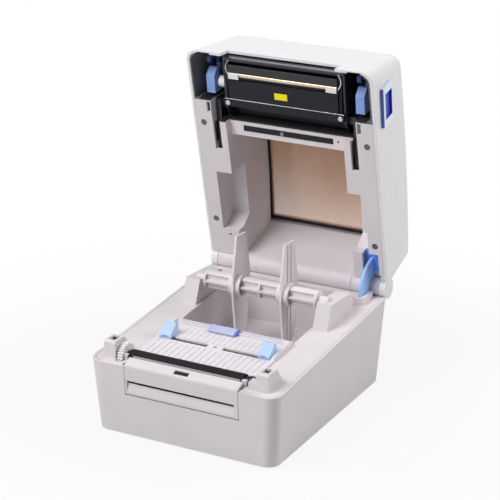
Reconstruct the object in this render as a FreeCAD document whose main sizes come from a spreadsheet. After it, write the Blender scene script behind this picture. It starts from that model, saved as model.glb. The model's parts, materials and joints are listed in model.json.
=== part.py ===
import FreeCAD, Part
import Sketcher
import os
import re
from fcgear import fcgear, involute
from FreeCAD import Placement, Rotation, Vector

# Four-inch thermal label printer with its lid open. Millimetres; X to the right, Y to the back, Z up.
# Every piece is drawn with the lid closed and y counted from the front of the case. A piece's
# placement then carries it to the shared frame, and turns the lid's pieces about the hinge.

DIMENSIONS = {
    # Case
    "base_width": 196.0,
    "base_depth": 232.0,
    "foot_height": 2.5,
    "foot_radius": 8.0,
    "deck_front": 72.3,
    "deck_slope": 4.2,
    "draft_inset": 4.4,
    "case_wall": 2.6,
    "case_floor": 2.5,
    "case_corner": 12.0,
    "case_rear_corner": 5.0,
    "fit_gap": 0.2,
    "run_gap": 0.05,
    "deck_thickness": 2.6,
    # Roll well, spindle and its pillars
    "well_front": 101.0,
    "well_rear": 9.8,
    "well_half": 61.0,
    "well_floor": 42.0,
    "well_wall": 2.4,
    "spindle_setback": 64.2,
    "spindle_height": 105.0,
    "spindle_radius": 9.0,
    "spindle_cap": 2.2,
    "spindle_rail": 1.8,
    "spindle_web": 8.0,
    "spindle_bays": 4,
    "trunnion_radius": 4.6,
    "trunnion_length": 8.0,
    "pillar_width": 15.5,
    "pillar_ahead": 20.0,
    "pillar_behind": 39.0,
    "tab_spread": 26.0,
    "tab_thickness": 2.4,
    "tab_reach": 51.0,
    "tab_hub": 11.4,
    # Front bumps that take the lid latches
    "bump_inner": 73.6,
    "bump_width": 12.0,
    "bump_front": 8.8,
    "bump_length": 16.0,
    "bump_height": 17.6,
    "bump_wall": 2.0,
    "latch_hole_length": 9.5,
    "latch_hole_width": 6.8,
    # Front panel
    "panel_width": 118.0,
    "panel_bottom": 44.9,
    "panel_wall": 2.4,
    "panel_gap": 0.5,
    "panel_sill": 1.3,
    "liner_slot": 3.0,
    "liner_slot_height": 55.6,
    "liner_slot_width": 112.0,
    # Platen and its gear train
    "platen_y": 20.0,
    "platen_height": 74.8,
    "platen_radius": 6.5,
    "platen_left": -62.0,
    "platen_right": 56.0,
    "shaft_radius": 3.0,
    "bush_radius": 4.5,
    "bush_width": 3.2,
    "flange_radius": 5.7,
    "flange_width": 2.8,
    "gear_module": 0.8,
    "gear_width": 5.0,
    "platen_teeth": 28,
    "idler_teeth": 47,
    "pinion_teeth": 14,
    "mesh_gap": 0.16,
    "idler_angle": -48.0,
    "motor_angle": -40.0,
    "motor_size": 42.0,
    "motor_length": 34.0,
    "stud_radius": 2.5,
    "plate_thickness": 1.9,
    # Label bed and its guides
    "bed_half": 62.0,
    "bed_front": 28.0,
    "bed_thickness": 2.0,
    "rib_height": 0.9,
    "rib_width": 0.9,
    "rib_count": 19,
    "rib_pitch": 6.2,
    "slot_y": 65.0,
    "slot_width": 5.6,
    "guide_inner": 46.0,
    "guide_width": 12.4,
    "guide_height": 12.0,
    "guide_depth": 14.2,
    "rack_module": 1.0,
    "rack_teeth": 14,
    "rack_drop": 5.0,
    "rack_depth": 4.0,
    # Hinge
    "hinge_setback": 6.6,
    "hinge_rise": 6.1,
    "barrel_radius": 10.0,
    "pin_radius": 2.5,
    "knuckle_length": 29.5,
    "ear_length": 6.9,
    "ear_inset": 1.2,
    "side_gap": 0.4,
    # Lid
    "rim_gap": 0.8,
    "lid_wall": 2.8,
    "lid_front": 4.4,
    "lid_overhang": 8.0,
    "lid_crown": 92.7,
    "lid_crest": 136.0,
    "lid_top_radius": 930.0,
    "lid_side_lean": 8.0,
    "lid_front_lean": 14.7,
    "lid_rear_lean": 6.0,
    "lid_corner": 12.0,
    "lid_round": 11.0,
    "lid_open": 81.9,
    "notch_width": 120.6,
    "notch_height": 15.0,
    "window_half": 61.0,
    "window_front": 112.0,
    "window_rear": 18.0,
    "window_lap": 3.0,
    "relief_wall": 1.3,
    "rear_curve": 174.0,
    "pane_thickness": 2.0,
    "gasket_thickness": 1.2,
    "liner_front": 57.0,
    "liner_plate": 3.0,
    "liner_wall": 2.5,
    "cavity_half": 63.0,
    "pocket_half": 80.5,
    "pocket_height": 27.0,
    "beam_front": 78.4,
    "beam_depth": 15.0,
    "beam_recess": 8.0,
    "beam_height": 12.0,
    "arm_inner": 71.0,
    "arm_width": 5.0,
    "pivot_y": 112.0,
    "pivot_rise": 10.4,
    "pivot_radius": 3.0,
    # Print head
    "head_gap": 0.3,
    "head_half": 58.0,
    "head_width": 34.7,
    "substrate_depth": 12.0,
    "head_sink": 16.8,
    "substrate_thickness": 1.6,
    "carrier_half": 64.6,
    "carrier_wall": 2.0,
    "shroud_wall": 1.4,
    "shroud_height": 45.0,
    # Latches and stay
    "latch_travel": 3.0,
    "latch_blade": 4.0,
    "button_front": 27.5,
    "button_length": 39.0,
    "button_bottom": 93.0,
    "button_height": 24.0,
    "button_proud": 3.0,
    "stay_inset": 19.3,
    "stay_thickness": 2.6,
    "stay_radius": 31.0,
    "stay_block_top": 95.0,
    # Electronics
    "board_height": 14.0,
    "board_thickness": 1.6,
    "board_half": 70.0,
    "board_front": 104.0,
    "board_rear": 10.0,
    "dc_place": 42.0,
    "usb_place": 11.0,
    "switch_place": -45.0,
    "switch_height": 31.0,
    "feed_radius": 7.0,
    "feed_place": 62.0,
    "feed_y": 46.0,
}

# Values that follow from the driving dimensions.
DERIVED = {
    "deck_tan": "tan(deck_slope)",
    "deck_cos": "cos(deck_slope)",
    "deck_rear": "deck_front + base_depth * deck_tan",
    "draft_rate": "draft_inset / (deck_front - foot_height)",
    "floor_top": "foot_height + case_floor",
    "hinge_y": "base_depth + hinge_setback",
    "hinge_z": "deck_rear + hinge_rise",
    "lid_top": "deck_front + lid_crown",
    "rim_front": "deck_front + rim_gap",
    "lid_back": "base_depth + lid_overhang",
    "case_half": "base_width / 2",
    "well_back": "base_depth - well_rear",
    "spindle_y": "well_back - spindle_setback",
    "pillar_front": "spindle_y - pillar_ahead",
    "pillar_back": "spindle_y + pillar_behind",
    "board_back": "base_depth - board_rear",
    "window_back": "base_depth - window_rear",
    "knuckle_outer": "case_half - ear_inset - ear_length - side_gap",
    "knuckle_inner": "knuckle_outer - knuckle_length",
    "stay_inner": "case_half - stay_inset",
    "bump_top": "deck_front + bump_height + 0.6",
    "bump_middle": "bump_inner + bump_width / 2",
    "pitch_platen": "gear_module * platen_teeth / 2",
    "pitch_idler": "gear_module * idler_teeth / 2",
    "pitch_pinion": "gear_module * pinion_teeth / 2",
    "idler_y": "platen_y + (pitch_platen + pitch_idler + mesh_gap) * cos(idler_angle)",
    "idler_z": "platen_height + (pitch_platen + pitch_idler + mesh_gap) * sin(idler_angle)",
    "motor_y": "idler_y + (pitch_idler + pitch_pinion + mesh_gap) * cos(motor_angle)",
    "motor_z": "idler_z + (pitch_idler + pitch_pinion + mesh_gap) * sin(motor_angle)",
    "bush_left": "platen_left - 0.6 - bush_width",
    "gear_right": "bush_left - 0.7",
    "gear_left": "gear_right - gear_width",
    "bush_right": "platen_right + 0.6",
    "flange_left": "bush_right + bush_width + 1.7",
    "flange_right": "flange_left + flange_width",
    "rack_radius": "rack_module * rack_teeth / 2",
    "rack_top": "deck_front + slot_y * deck_tan - rack_drop",
    "head_z": "platen_height + platen_radius + head_gap",
    "pivot_height": "head_z + pivot_rise",
    "sink_z": "head_z + substrate_thickness",
    "carrier_z": "sink_z + head_sink",
    "shroud_top": "rim_front + shroud_height",
    "button_middle": "button_bottom + button_height / 2",
    "board_top": "board_height + board_thickness",
    "socket_z": "board_top + 5.6",
    "front_shift": "-(base_depth + hinge_setback + (lid_top - lid_round / 2 - hinge_z) * sin(lid_open)) / 2",
}

doc = FreeCAD.newDocument("LabelPrinter")
dims = doc.addObject("Spreadsheet::Sheet", "dims")
for row, (alias, size) in enumerate(DIMENSIONS.items(), 1):
    dims.set(f"A{row}", alias)
    dims.set(f"B{row}", str(size))
    dims.setAlias(f"B{row}", alias)
derived = doc.addObject("Spreadsheet::Sheet", "derived")


def bind(text):
    """Name the sheet that holds each value used in an expression."""
    def sheet_name(match):
        word = match.group(0)
        if word in DIMENSIONS:
            return "dims." + word
        if word in DERIVED:
            return "derived." + word
        return word
    return re.sub(r"[a-z_]+", sheet_name, str(text))


for row, (alias, formula) in enumerate(DERIVED.items(), 1):
    derived.set(f"A{row}", alias)
    derived.set(f"B{row}", "=" + bind(formula))
    derived.setAlias(f"B{row}", alias)
doc.recompute()


def number(text):
    """The present value of an expression."""
    found = dims.evalExpression(bind(text))
    return float(getattr(found, "Value", found))


def deck(y, lift="0"):
    """Height of the sloping deck at a distance behind the front of the case."""
    return f"(deck_front + ({y}) * deck_tan + {lift})"


def rim(y, lift="0"):
    """Height of the closed lid's rim at a distance behind the front of the case."""
    return deck(y, f"rim_gap + {lift}")


PLANES = {"X": Rotation(Vector(1, 1, 1), 120), "Y": Rotation(Vector(1, 0, 0), 90), "Z": Rotation()}
WAYS = {"X": Vector(1, 0, 0), "Y": Vector(0, 1, 0), "Z": Vector(0, 0, 1)}


def box(name, x, y, z):
    """Block between low and high limits on each axis."""
    solid = doc.addObject("Part::Box", name)
    for size, axis, (low, high) in (("Length", "x", x), ("Width", "y", y), ("Height", "z", z)):
        solid.setExpression(size, bind(f"({high}) - ({low})"))
        solid.setExpression(f"Placement.Base.{axis}", bind(low))
    return solid


def rod(name, radius, axis, span, across):
    """Cylinder along an axis; across gives its centre on the two other axes, in order."""
    turn = {"X": Rotation(Vector(0, 1, 0), 90), "Y": Rotation(Vector(1, 0, 0), -90), "Z": Rotation()}
    solid = doc.addObject("Part::Cylinder", name)
    solid.Placement = Placement(Vector(), turn[axis])
    solid.setExpression("Radius", bind(radius))
    solid.setExpression("Height", bind(f"({span[1]}) - ({span[0]})"))
    place = {"X": (span[0], *across), "Y": (across[0], span[0], across[1]), "Z": (*across, span[0])}
    for letter, text in zip("xyz", place[axis]):
        solid.setExpression(f"Placement.Base.{letter}", bind(text))
    return solid


def outline(name, corners, rotation):
    """Closed sketch through corners, each a pair of expressions on the sketch's own axes."""
    sketch = doc.addObject("Sketcher::SketchObject", name + "_outline")
    sketch.Placement = Placement(Vector(), rotation)
    points = [Vector(number(across), number(along), 0) for across, along in corners]
    count = len(points)
    for i in range(count):
        sketch.addGeometry(Part.LineSegment(points[i], points[(i + 1) % count]), False)
    for i in range(count):
        sketch.addConstraint(Sketcher.Constraint("Coincident", i, 2, (i + 1) % count, 1))
    for i, pair in enumerate(corners):
        for kind, text, size in zip(("DistanceX", "DistanceY"), pair, points[i]):
            index = sketch.addConstraint(Sketcher.Constraint(kind, -1, 1, i, 1, size))
            sketch.setExpression(f"Constraints[{index}]", bind(text))
    return sketch


def prism(name, corners, axis, span):
    """Outline pushed along an axis; corners are on the two other axes, in order."""
    sketch = outline(name, corners, PLANES[axis])
    sketch.setExpression(f"Placement.Base.{axis.lower()}", bind(span[0]))
    solid = doc.addObject("Part::Extrusion", name)
    solid.Base = sketch
    solid.DirMode = "Custom"
    solid.Dir = WAYS[axis]
    solid.Solid = True
    solid.setExpression("LengthFwd", bind(f"({span[1]}) - ({span[0]})"))
    return solid


def fuse(name, *solids):
    union = doc.addObject("Part::MultiFuse", name)
    union.Shapes = list(solids)
    union.Refine = True
    return union


def cut(name, base, *tools):
    """Base less its tools."""
    result = doc.addObject("Part::Cut", name)
    result.Base = base
    result.Tool = tools[0] if len(tools) == 1 else fuse(name + "_tools", *tools)
    result.Refine = True
    return result


def common(name, *solids):
    shared = doc.addObject("Part::MultiCommon", name)
    shared.Shapes = list(solids)
    return shared


def mirror(name, source):
    """The same solid on the other side of the middle plane."""
    twin = doc.addObject("Part::Mirroring", name)
    twin.Source = source
    twin.Normal = Vector(1, 0, 0)
    return twin


def both(name, source):
    """A solid and its twin on the other side."""
    return [source, mirror(name, source)]


def fillet(name, base, choose):
    """Round the edges for which choose gives a radius."""
    doc.recompute()
    result = doc.addObject("Part::Fillet", name)
    result.Base = base
    rounds = [(i, choose(edge)) for i, edge in enumerate(base.Shape.Edges, 1)]
    result.Edges = [(i, radius, radius) for i, radius in rounds if radius]
    return result


def loft(name, low, high):
    """Solid between two sketches."""
    solid = doc.addObject("Part::Loft", name)
    solid.Sections = [low, high]
    solid.Solid = True
    solid.Ruled = True
    return solid


def quad(name, front, back, front_half, back_half, sloped, height):
    """Four-cornered sketch, level or on the deck's slope, its height taken at the front of the case."""
    stretch = " / deck_cos" if sloped else ""
    front, back = f"({front}){stretch}", f"({back}){stretch}"
    corners = [(f"-({front_half})", front), (f"{front_half}", front),
               (f"{back_half}", back), (f"-({back_half})", back)]
    tilt = Rotation(Vector(1, 0, 0), number("deck_slope") if sloped else 0)
    sketch = outline(name, corners, tilt)
    sketch.setExpression("Placement.Base.z", bind(height))
    return sketch


def gear(name, teeth, module, axis, span, across, turn, bore):
    """Spur gear with an involute profile and a bore, turned about its axis by an angle."""
    low, high = number(span[0]), number(span[1])
    wire = fcgear.FCWireBuilder()
    involute.CreateExternalGear(wire, number(module), int(number(teeth)), 20)
    profile = Part.Wire([curve.toShape() for curve in wire.wire])
    blank = Part.Face(profile).extrude(Vector(0, 0, high - low))
    hole = Part.makeCylinder(number(bore), high - low)
    solid = doc.addObject("Part::Feature", name)
    solid.Shape = blank.cut(hole)
    centre = {"X": (low, *map(number, across)), "Z": (*map(number, across), low)}
    solid.Placement = Placement(Vector(*centre[axis]), PLANES[axis] * Rotation(Vector(0, 0, 1), turn))
    return solid


subparts = []
shift = Vector(0, number("front_shift"), 0)
hinge = Vector(0, number("hinge_y"), number("hinge_z"))
closed_place = Placement(shift, Rotation())
open_place = Placement(shift, Rotation()) * Placement(
    Vector(), Rotation(Vector(1, 0, 0), -number("lid_open")), hinge)


def subpart(label, solids, place):
    """Name one piece, or one group of like pieces, and put it in its place."""
    solids = solids if isinstance(solids, list) else [solids]
    piece = doc.addObject("Part::Compound", label)
    piece.Links = solids
    piece.Label = label
    piece.Placement = place
    subparts.append(piece)
    return piece


def mesh_turn(driver_turn, driver_teeth, follower_teeth, angle):
    """Angle of a gear in mesh with a driver that lies on the far side of it, along a line of centres."""
    share = number(driver_teeth) / number(follower_teeth)
    return angle + 180 + 180 / number(follower_teeth) - (driver_turn - angle) * share


def corners_of(half, front, back):
    """Four places, on both sides of the middle plane."""
    return [(f"{side} * ({half})", y) for side in (-1, 1) for y in (front, back)]


def board_holes():
    return corners_of("board_half - 8", "board_front + 8", "board_back - 22")


def deck_posts():
    return corners_of("case_half - 14", "46", "150")


# Case: a drafted tray whose rim follows the sloping deck.

def case_hull(name, inset, bottom, lift, front_round, back_round):
    """The case's outer form, drawn in by an inset, from a level bottom to a plane above the deck."""
    front = f"{inset} + draft_rate * (deck_front - ({bottom}))"
    back = f"base_depth - {inset} - draft_rate * (deck_rear - ({bottom}))"
    front_half = f"case_half - {inset} - draft_rate * ({deck(front)} - ({bottom}))"
    back_half = f"case_half - {inset} - draft_rate * ({deck(back)} - ({bottom}))"
    low = quad(name + "_low", front, back, front_half, back_half, False, bottom)
    half = f"case_half - {inset} + draft_rate * {lift}"
    high = quad(name + "_high", f"{inset} - draft_rate * {lift}",
                f"base_depth - {inset} + draft_rate * {lift}",
                half, half, True, f"deck_front + {lift}")
    middle = number("base_depth / 2")
    tall = number("deck_front / 2")

    def corner(edge):
        if edge.BoundBox.ZLength < tall:
            return 0
        return number(front_round if edge.BoundBox.YMax < middle else back_round)
    return fillet(name, loft(name + "_sides", low, high), corner)


def front_y(z):
    return f"(draft_rate * (deck_front - ({z})))"


def back_y(z):
    return f"(base_depth - draft_rate * (deck_rear - ({z})))"


def stay_slot(name):
    """Room for the lid stay's swing, through the block, the deck and the case's back."""
    return box(name, ("stay_inner - 0.5", "stay_inner + stay_thickness + 0.5"),
               ("hinge_y - stay_radius - 1.4", "hinge_y + 1.5"),
               ("hinge_z - stay_radius - 3", "stay_block_top + 5"))


def drive_foot_holes():
    return [("gear_right + plate_thickness + 8.4", f"motor_y + {way} * 15") for way in (-1, 1)]


def lower_case():
    shell = cut("case_shell", case_hull("case_outer", "0", "foot_height", "0", "case_corner",
                                        "case_rear_corner"),
                case_hull("case_inner", "case_wall", "floor_top", "3", "case_corner - case_wall",
                          "case_rear_corner - case_wall"))
    board_posts = [rod(f"board_post_{i}", "3.5", "Z", ("foot_height + 1", "board_height"), place)
                   for i, place in enumerate(board_holes())]
    housing = prism("hinge_housing", [("base_depth - 6", "hinge_z - 44"), ("hinge_y + 4", "hinge_z - 34"),
                                      ("hinge_y + 4", "hinge_z - barrel_radius - 0.8"),
                                      ("base_depth - 6", "hinge_z - barrel_radius - 0.8")], "X",
                    ("knuckle_inner", "knuckle_outer"))
    hollow = prism("housing_hollow", [("base_depth - 10", "hinge_z - 40"),
                                      ("hinge_y + 4 - case_wall", "hinge_z - 32"),
                                      ("hinge_y + 4 - case_wall",
                                       "hinge_z - barrel_radius - 0.8 - case_wall"),
                                      ("base_depth - 10", "hinge_z - barrel_radius - 0.8 - case_wall")],
                                      "X",
                   ("knuckle_inner + case_wall", "knuckle_outer - case_wall"))
    housings = both("hinge_housing_left", housing)
    cuts = [stay_slot("case_stay_slot"), *both("housing_hollow_left", hollow),
            box("panel_opening", ("-panel_width/2 - panel_gap", "panel_width/2 + panel_gap"), ("-2", "12"),
                ("panel_bottom - panel_sill", "deck_front + 10")),
            rod("hinge_saddle", "barrel_radius + 0.6", "X", ("-base_width", "base_width"),
                ("hinge_y", "hinge_z")),
            rod("dc_opening", "5.6", "Y", ("base_depth - 20", "base_depth + 5"), ("dc_place", "socket_z")),
            box("usb_opening", ("usb_place - 6.3", "usb_place + 6.3"),
                ("base_depth - 20", "base_depth + 5"),
                ("board_height + board_thickness - 0.2", "board_height + board_thickness + 11.3")),
            box("switch_opening", ("switch_place - 10.2", "switch_place + 10.2"),
                ("base_depth - 20", "base_depth + 5"),
                ("switch_height - 7.2", "switch_height + 7.2"))]
    cuts += both("knuckle_notch_left", box("knuckle_notch", ("knuckle_inner - 0.3", "knuckle_outer + 0.3"),
                 ("base_depth - 8", "base_depth + 2"), ("deck_rear - 5", "hinge_z + 5")))
    for i, place in enumerate(deck_posts()):
        cuts.append(rod(f"screw_hole_{i}", "1.8", "Z", ("foot_height - 1", "floor_top + 1"), place))
        cuts.append(rod(f"screw_sink_{i}", "3.4", "Z", ("foot_height - 1", "foot_height + 1.2"), place))
    for i, place in enumerate(board_holes()):
        cuts.append(rod(f"board_pilot_{i}", "1.42", "Z", ("floor_top", "board_height + 1"), place))
    for i, place in enumerate(drive_foot_holes()):
        cuts.append(rod(f"drive_pilot_{i}", "1.42", "Z", ("foot_height + 0.4", "floor_top + 1"), place))
    vents = [box(f"vent_{i}", (f"{-34 + 8 * i}", f"{-31 + 8 * i}"),
                 ("board_front + 40", "board_front + 82"),
                 ("foot_height - 1", "floor_top + 1")) for i in range(9)]
    subpart("lower_case", cut("case_body", fuse("case_posts", shell, *board_posts, *housings), *cuts,
                              *vents), closed_place)
    places = corners_of("base_width/2 - 24", "26", "base_depth - 26")
    feet = [rod(f"foot_{i}", "foot_radius", "Z", ("0", "foot_height"), place)
            for i, place in enumerate(places)]
    subpart("rubber_feet", feet, closed_place)
    screws = []
    for i, place in enumerate(deck_posts()):
        head = rod(f"base_head_{i}", "3.1", "Z", ("foot_height + 0.1", "foot_height + 1.2"), place)
        shank = rod(f"base_shank_{i}", "1.5", "Z", ("foot_height + 1.1", "floor_top + 9"), place)
        screws.append(fuse(f"base_screw_{i}", head, shank))
    subpart("base_screws", screws, closed_place)


# Deck: the sloping inner moulding with the roll well, pillars, latch bumps and hinge knuckles.

def deck_plate():
    low, high = "case_wall + fit_gap", "base_depth - case_wall - fit_gap"
    half = "case_half - case_wall - fit_gap - draft_rate * deck_thickness"
    plate = prism("deck_sheet", [(low, deck(low)), (high, deck(high)),
                                 (high, deck(high, "-deck_thickness")),
                                 (low, deck(low, "-deck_thickness"))], "X", (f"-({half})", half))
    middle = number("base_depth / 2")

    def corner(edge):
        across = edge.BoundBox.XLength + edge.BoundBox.YLength
        if across > 0.5:
            return 0
        rounding = "case_corner" if edge.BoundBox.YMax < middle else "case_rear_corner"
        return number(f"{rounding} - case_wall")
    return fillet("deck_rounded", plate, corner)


def well_side(grow, top):
    low, high, floor = f"well_front - {grow}", f"well_back + {grow}", f"well_floor - {grow}"
    return [(low, floor), (high, floor), (high, deck(high, top)), (low, deck(low, top))]


def pillar():
    foot = "well_half + well_wall"
    front, back = "pillar_front", "pillar_back"
    crown = "spindle_height + 1.5"
    side = [(front, deck(front, "-1")), (f"{front} + 10", crown), (f"{back} - 7", f"{crown} - 2.5"),
            (back, deck(back, "-1"))]
    block = prism("pillar_block", side, "X", (foot, f"{foot} + pillar_width"))
    notch = rod("pillar_notch", "trunnion_radius + 0.3", "X",
                (f"{foot} - 1", f"{foot} + trunnion_length + 0.6"),
                ("spindle_y", "spindle_height"))
    mouth = box("pillar_mouth", (f"{foot} - 1", f"{foot} + trunnion_length + 0.6"),
                ("spindle_y - trunnion_radius - 0.3", "spindle_y + trunnion_radius + 0.3"),
                ("spindle_height", "spindle_height + 20"))
    return cut("pillar", block, notch, mouth)


def pillar_hollow():
    foot = "well_half + well_wall"
    return box("pillar_hollow", (f"{foot} + 2.4", f"{foot} + pillar_width - 2.4"),
               ("pillar_front + 9", "pillar_back - 9"),
               (deck("pillar_front", "-10"), "spindle_height - trunnion_radius - 3"))


def bump_side(grow):
    front = f"bump_front + {grow}"
    return [(front, deck(front, f"-1 - 8 * {grow}")), (front, f"bump_top - {grow} - 2"),
            (f"{front} + 2", f"bump_top - {grow}"),
            (f"bump_front + bump_length - {grow} / 2", f"bump_top - {grow}"),
            (f"bump_front + bump_length + 13 - 2 * {grow}", deck(f"{front} + 29", f"-1 - 8 * {grow}"))]


def latch_hole_front():
    return "bump_front + 4"


def inner_deck():
    grow = "well_wall"
    pieces = [deck_plate(),
              prism("well_outer", well_side(grow, "-0.4"), "X",
                    (f"-well_half - {grow}", f"well_half + {grow}"))]
    pieces += both("pillar_left", pillar())
    bump = prism("bump", bump_side("0"), "X", ("bump_inner", "bump_inner + bump_width"))
    pieces += both("bump_left", bump)
    shoulder = [("bump_front", deck("bump_front", "-1")), ("bump_front", deck("bump_front", "7")),
                ("bump_front + 9", deck("bump_front + 9", "7")),
                ("bump_front + 20", deck("bump_front + 20", "-1"))]
    pieces.append(prism("bump_shoulder", shoulder, "X", ("flange_right + 0.8", "bump_inner + 1")))
    cheek_top = "platen_height + bush_radius - 0.6"
    cheek_low = "deck_front - deck_thickness - 6"
    left = ("bush_left - 0.2", "bush_left + bush_width")
    right = ("bush_right", "flange_left - 0.1")
    for label, span in (("left", left), ("right", right)):
        pieces.append(box(f"cheek_{label}", span, ("platen_y - 8", "platen_y + 7.8"),
                          (cheek_low, cheek_top)))
    for i, place in enumerate(deck_posts()):
        pieces.append(rod(f"deck_post_{i}", "4.5", "Z", ("floor_top", deck(place[1], "-1")), place))
    pieces.append(box("stay_block", ("stay_inner - 4.2", "stay_inner + stay_thickness + 4.2"),
                      ("hinge_y - stay_radius - 3.4", "hinge_y - 13"),
                      (deck("hinge_y - 60"), "stay_block_top")))
    arm_front = "base_depth - 7"
    arm = prism("knuckle_arm", [(arm_front, deck(arm_front, "-deck_thickness")),
                                (arm_front, deck(arm_front)),
                                ("hinge_y - 5", "hinge_z - 7.2"), ("hinge_y - 3", "hinge_z - 9")], "X",
                ("knuckle_inner", "knuckle_outer"))
    body = fuse("deck_pieces", *pieces)
    cuts = [prism("well_inner", well_side("0", "80"), "X", ("-well_half", "well_half")),
            box("bed_opening", ("-bed_half + 3", "bed_half - 3"),
                ("platen_y + 9", "well_front - well_wall"),
                ("deck_front - 10", "deck_front + 30")),
            box("platen_trough", ("platen_left - 0.6", "platen_right + 0.6"), ("-1", "platen_y + 12"),
                ("deck_front - 20", "deck_front + 30")),
            box("panel_bay", ("-panel_width/2 - 0.5", "panel_width/2 + 0.5"), ("-1", "platen_y - 8"),
                ("deck_front - 20", "deck_front + 30")),
            box("gear_opening", ("gear_left - 1", "gear_right + 0.3"),
                ("platen_y - pitch_platen - 2", "platen_y + pitch_platen + 2"),
                ("deck_front - 20", "deck_front + 30")),
            box("bush_bay", ("flange_left - 0.1", "flange_right + 0.3"),
                ("platen_y - flange_radius - 0.8", "platen_y + flange_radius + 0.8"),
                ("deck_front - 8", "deck_front + 30")),
            rod("deck_saddle", "barrel_radius + 0.6", "X", ("-base_width", "base_width"),
                ("hinge_y", "hinge_z"))]
    body = fuse("deck_arms", cut("deck_saddled", body, *cuts), *both("knuckle_arm_left", arm))
    cuts = [stay_slot("deck_stay_slot")]
    cuts += both("pillar_hollow_left", pillar_hollow())
    hollow = prism("bump_hollow", bump_side("bump_wall"), "X",
                   ("bump_inner + bump_wall", "bump_inner + bump_width - bump_wall"))
    cuts += both("bump_hollow_left", hollow)
    hole = box("latch_hole", ("bump_middle - latch_hole_width/2", "bump_middle + latch_hole_width/2"),
               (latch_hole_front(), f"{latch_hole_front()} + latch_hole_length"),
               ("bump_top - 4", "bump_top + 2"))
    cuts += both("latch_hole_left", hole)
    for label, span in (("left", left), ("right", right)):
        wide = (f"{span[0]} - 1", f"{span[1]} + 1")
        cuts.append(rod(f"seat_{label}", "bush_radius + 0.05", "X", wide, ("platen_y", "platen_height")))
        cuts.append(box(f"seat_mouth_{label}", wide,
                        ("platen_y - bush_radius - 0.05", "platen_y + bush_radius + 0.05"),
                        ("platen_height", "platen_height + 20")))
    for i, place in enumerate(deck_posts()):
        cuts.append(rod(f"post_bore_{i}", "1.52", "Z", ("floor_top - 1", "floor_top + 11"), place))
    knuckle = rod("knuckle", "barrel_radius", "X", ("knuckle_inner", "knuckle_outer"),
                  ("hinge_y", "hinge_z"))
    bored = fuse("deck_hinged", cut("deck_cut", body, *cuts), *both("knuckle_left", knuckle))
    bore = rod("pin_bore", "pin_radius + 0.02", "X", ("-base_width", "base_width"), ("hinge_y", "hinge_z"))
    subpart("inner_deck", cut("deck_body", bored, bore), closed_place)
    pin = rod("pin_right", "pin_radius", "X", ("knuckle_inner - 8", "knuckle_outer + 5"),
              ("hinge_y", "hinge_z"))
    subpart("hinge_pins", both("pin_left", pin), closed_place)


# Front panel with the liner slot, its sensor window and the tear bar.

def front_panel():
    wall = "panel_wall"
    inner = f"{front_y('panel_bottom')} + {wall}"
    side = [(front_y("panel_bottom"), "panel_bottom"), ("0", "deck_front"), ("0.5", "deck_front + 1.7"),
            ("9.6", "deck_front + 5.8"), ("10.6", "deck_front + 5.2"), ("10.6", "deck_front + 2.4"),
            ("5", "deck_front - 0.4"), (wall, "deck_front - 3"), (inner, "panel_bottom")]
    plate = prism("panel_plate", side, "X", ("-panel_width/2", "panel_width/2"))
    slot_top = "liner_slot_height + liner_slot"
    lip = "liner_slot_height - 8"
    slot = prism("panel_slot", [("-1", lip), (f"{front_y(lip)} + 0.01", lip), (f"{front_y(lip)} + 1.7",
                 "liner_slot_height"), ("8", "liner_slot_height"), ("8", slot_top), ("-1", slot_top)], "X",
                 ("-liner_slot_width/2 - 1", "liner_slot_width/2 - 1"))
    hole = box("panel_hole", ("-8.5", "6.5"), ("2.6", "7.2"), ("deck_front - 4", "deck_front + 12"))
    subpart("front_panel", cut("panel_body", plate, slot, hole), closed_place)
    lens = [("2.7", "deck_front + 0.4"), ("7.1", "deck_front + 2.4"), ("7.1", "deck_front + 3.9"),
            ("2.7", "deck_front + 1.9")]
    subpart("panel_sensor", prism("sensor_block", lens, "X", ("-8.4", "6.4")), closed_place)
    blade = [("10.7", "deck_front - 1"), ("11.9", "deck_front - 1"), ("11.9", "deck_front + 6"),
             ("11.3", "deck_front + 7.2"), ("10.7", "deck_front + 6")]
    subpart("tear_bar", prism("tear_blade", blade, "X", ("-56", "55.5")), closed_place)


# Label bed with ribs, scale, guides and their rack and pinion.

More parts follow.
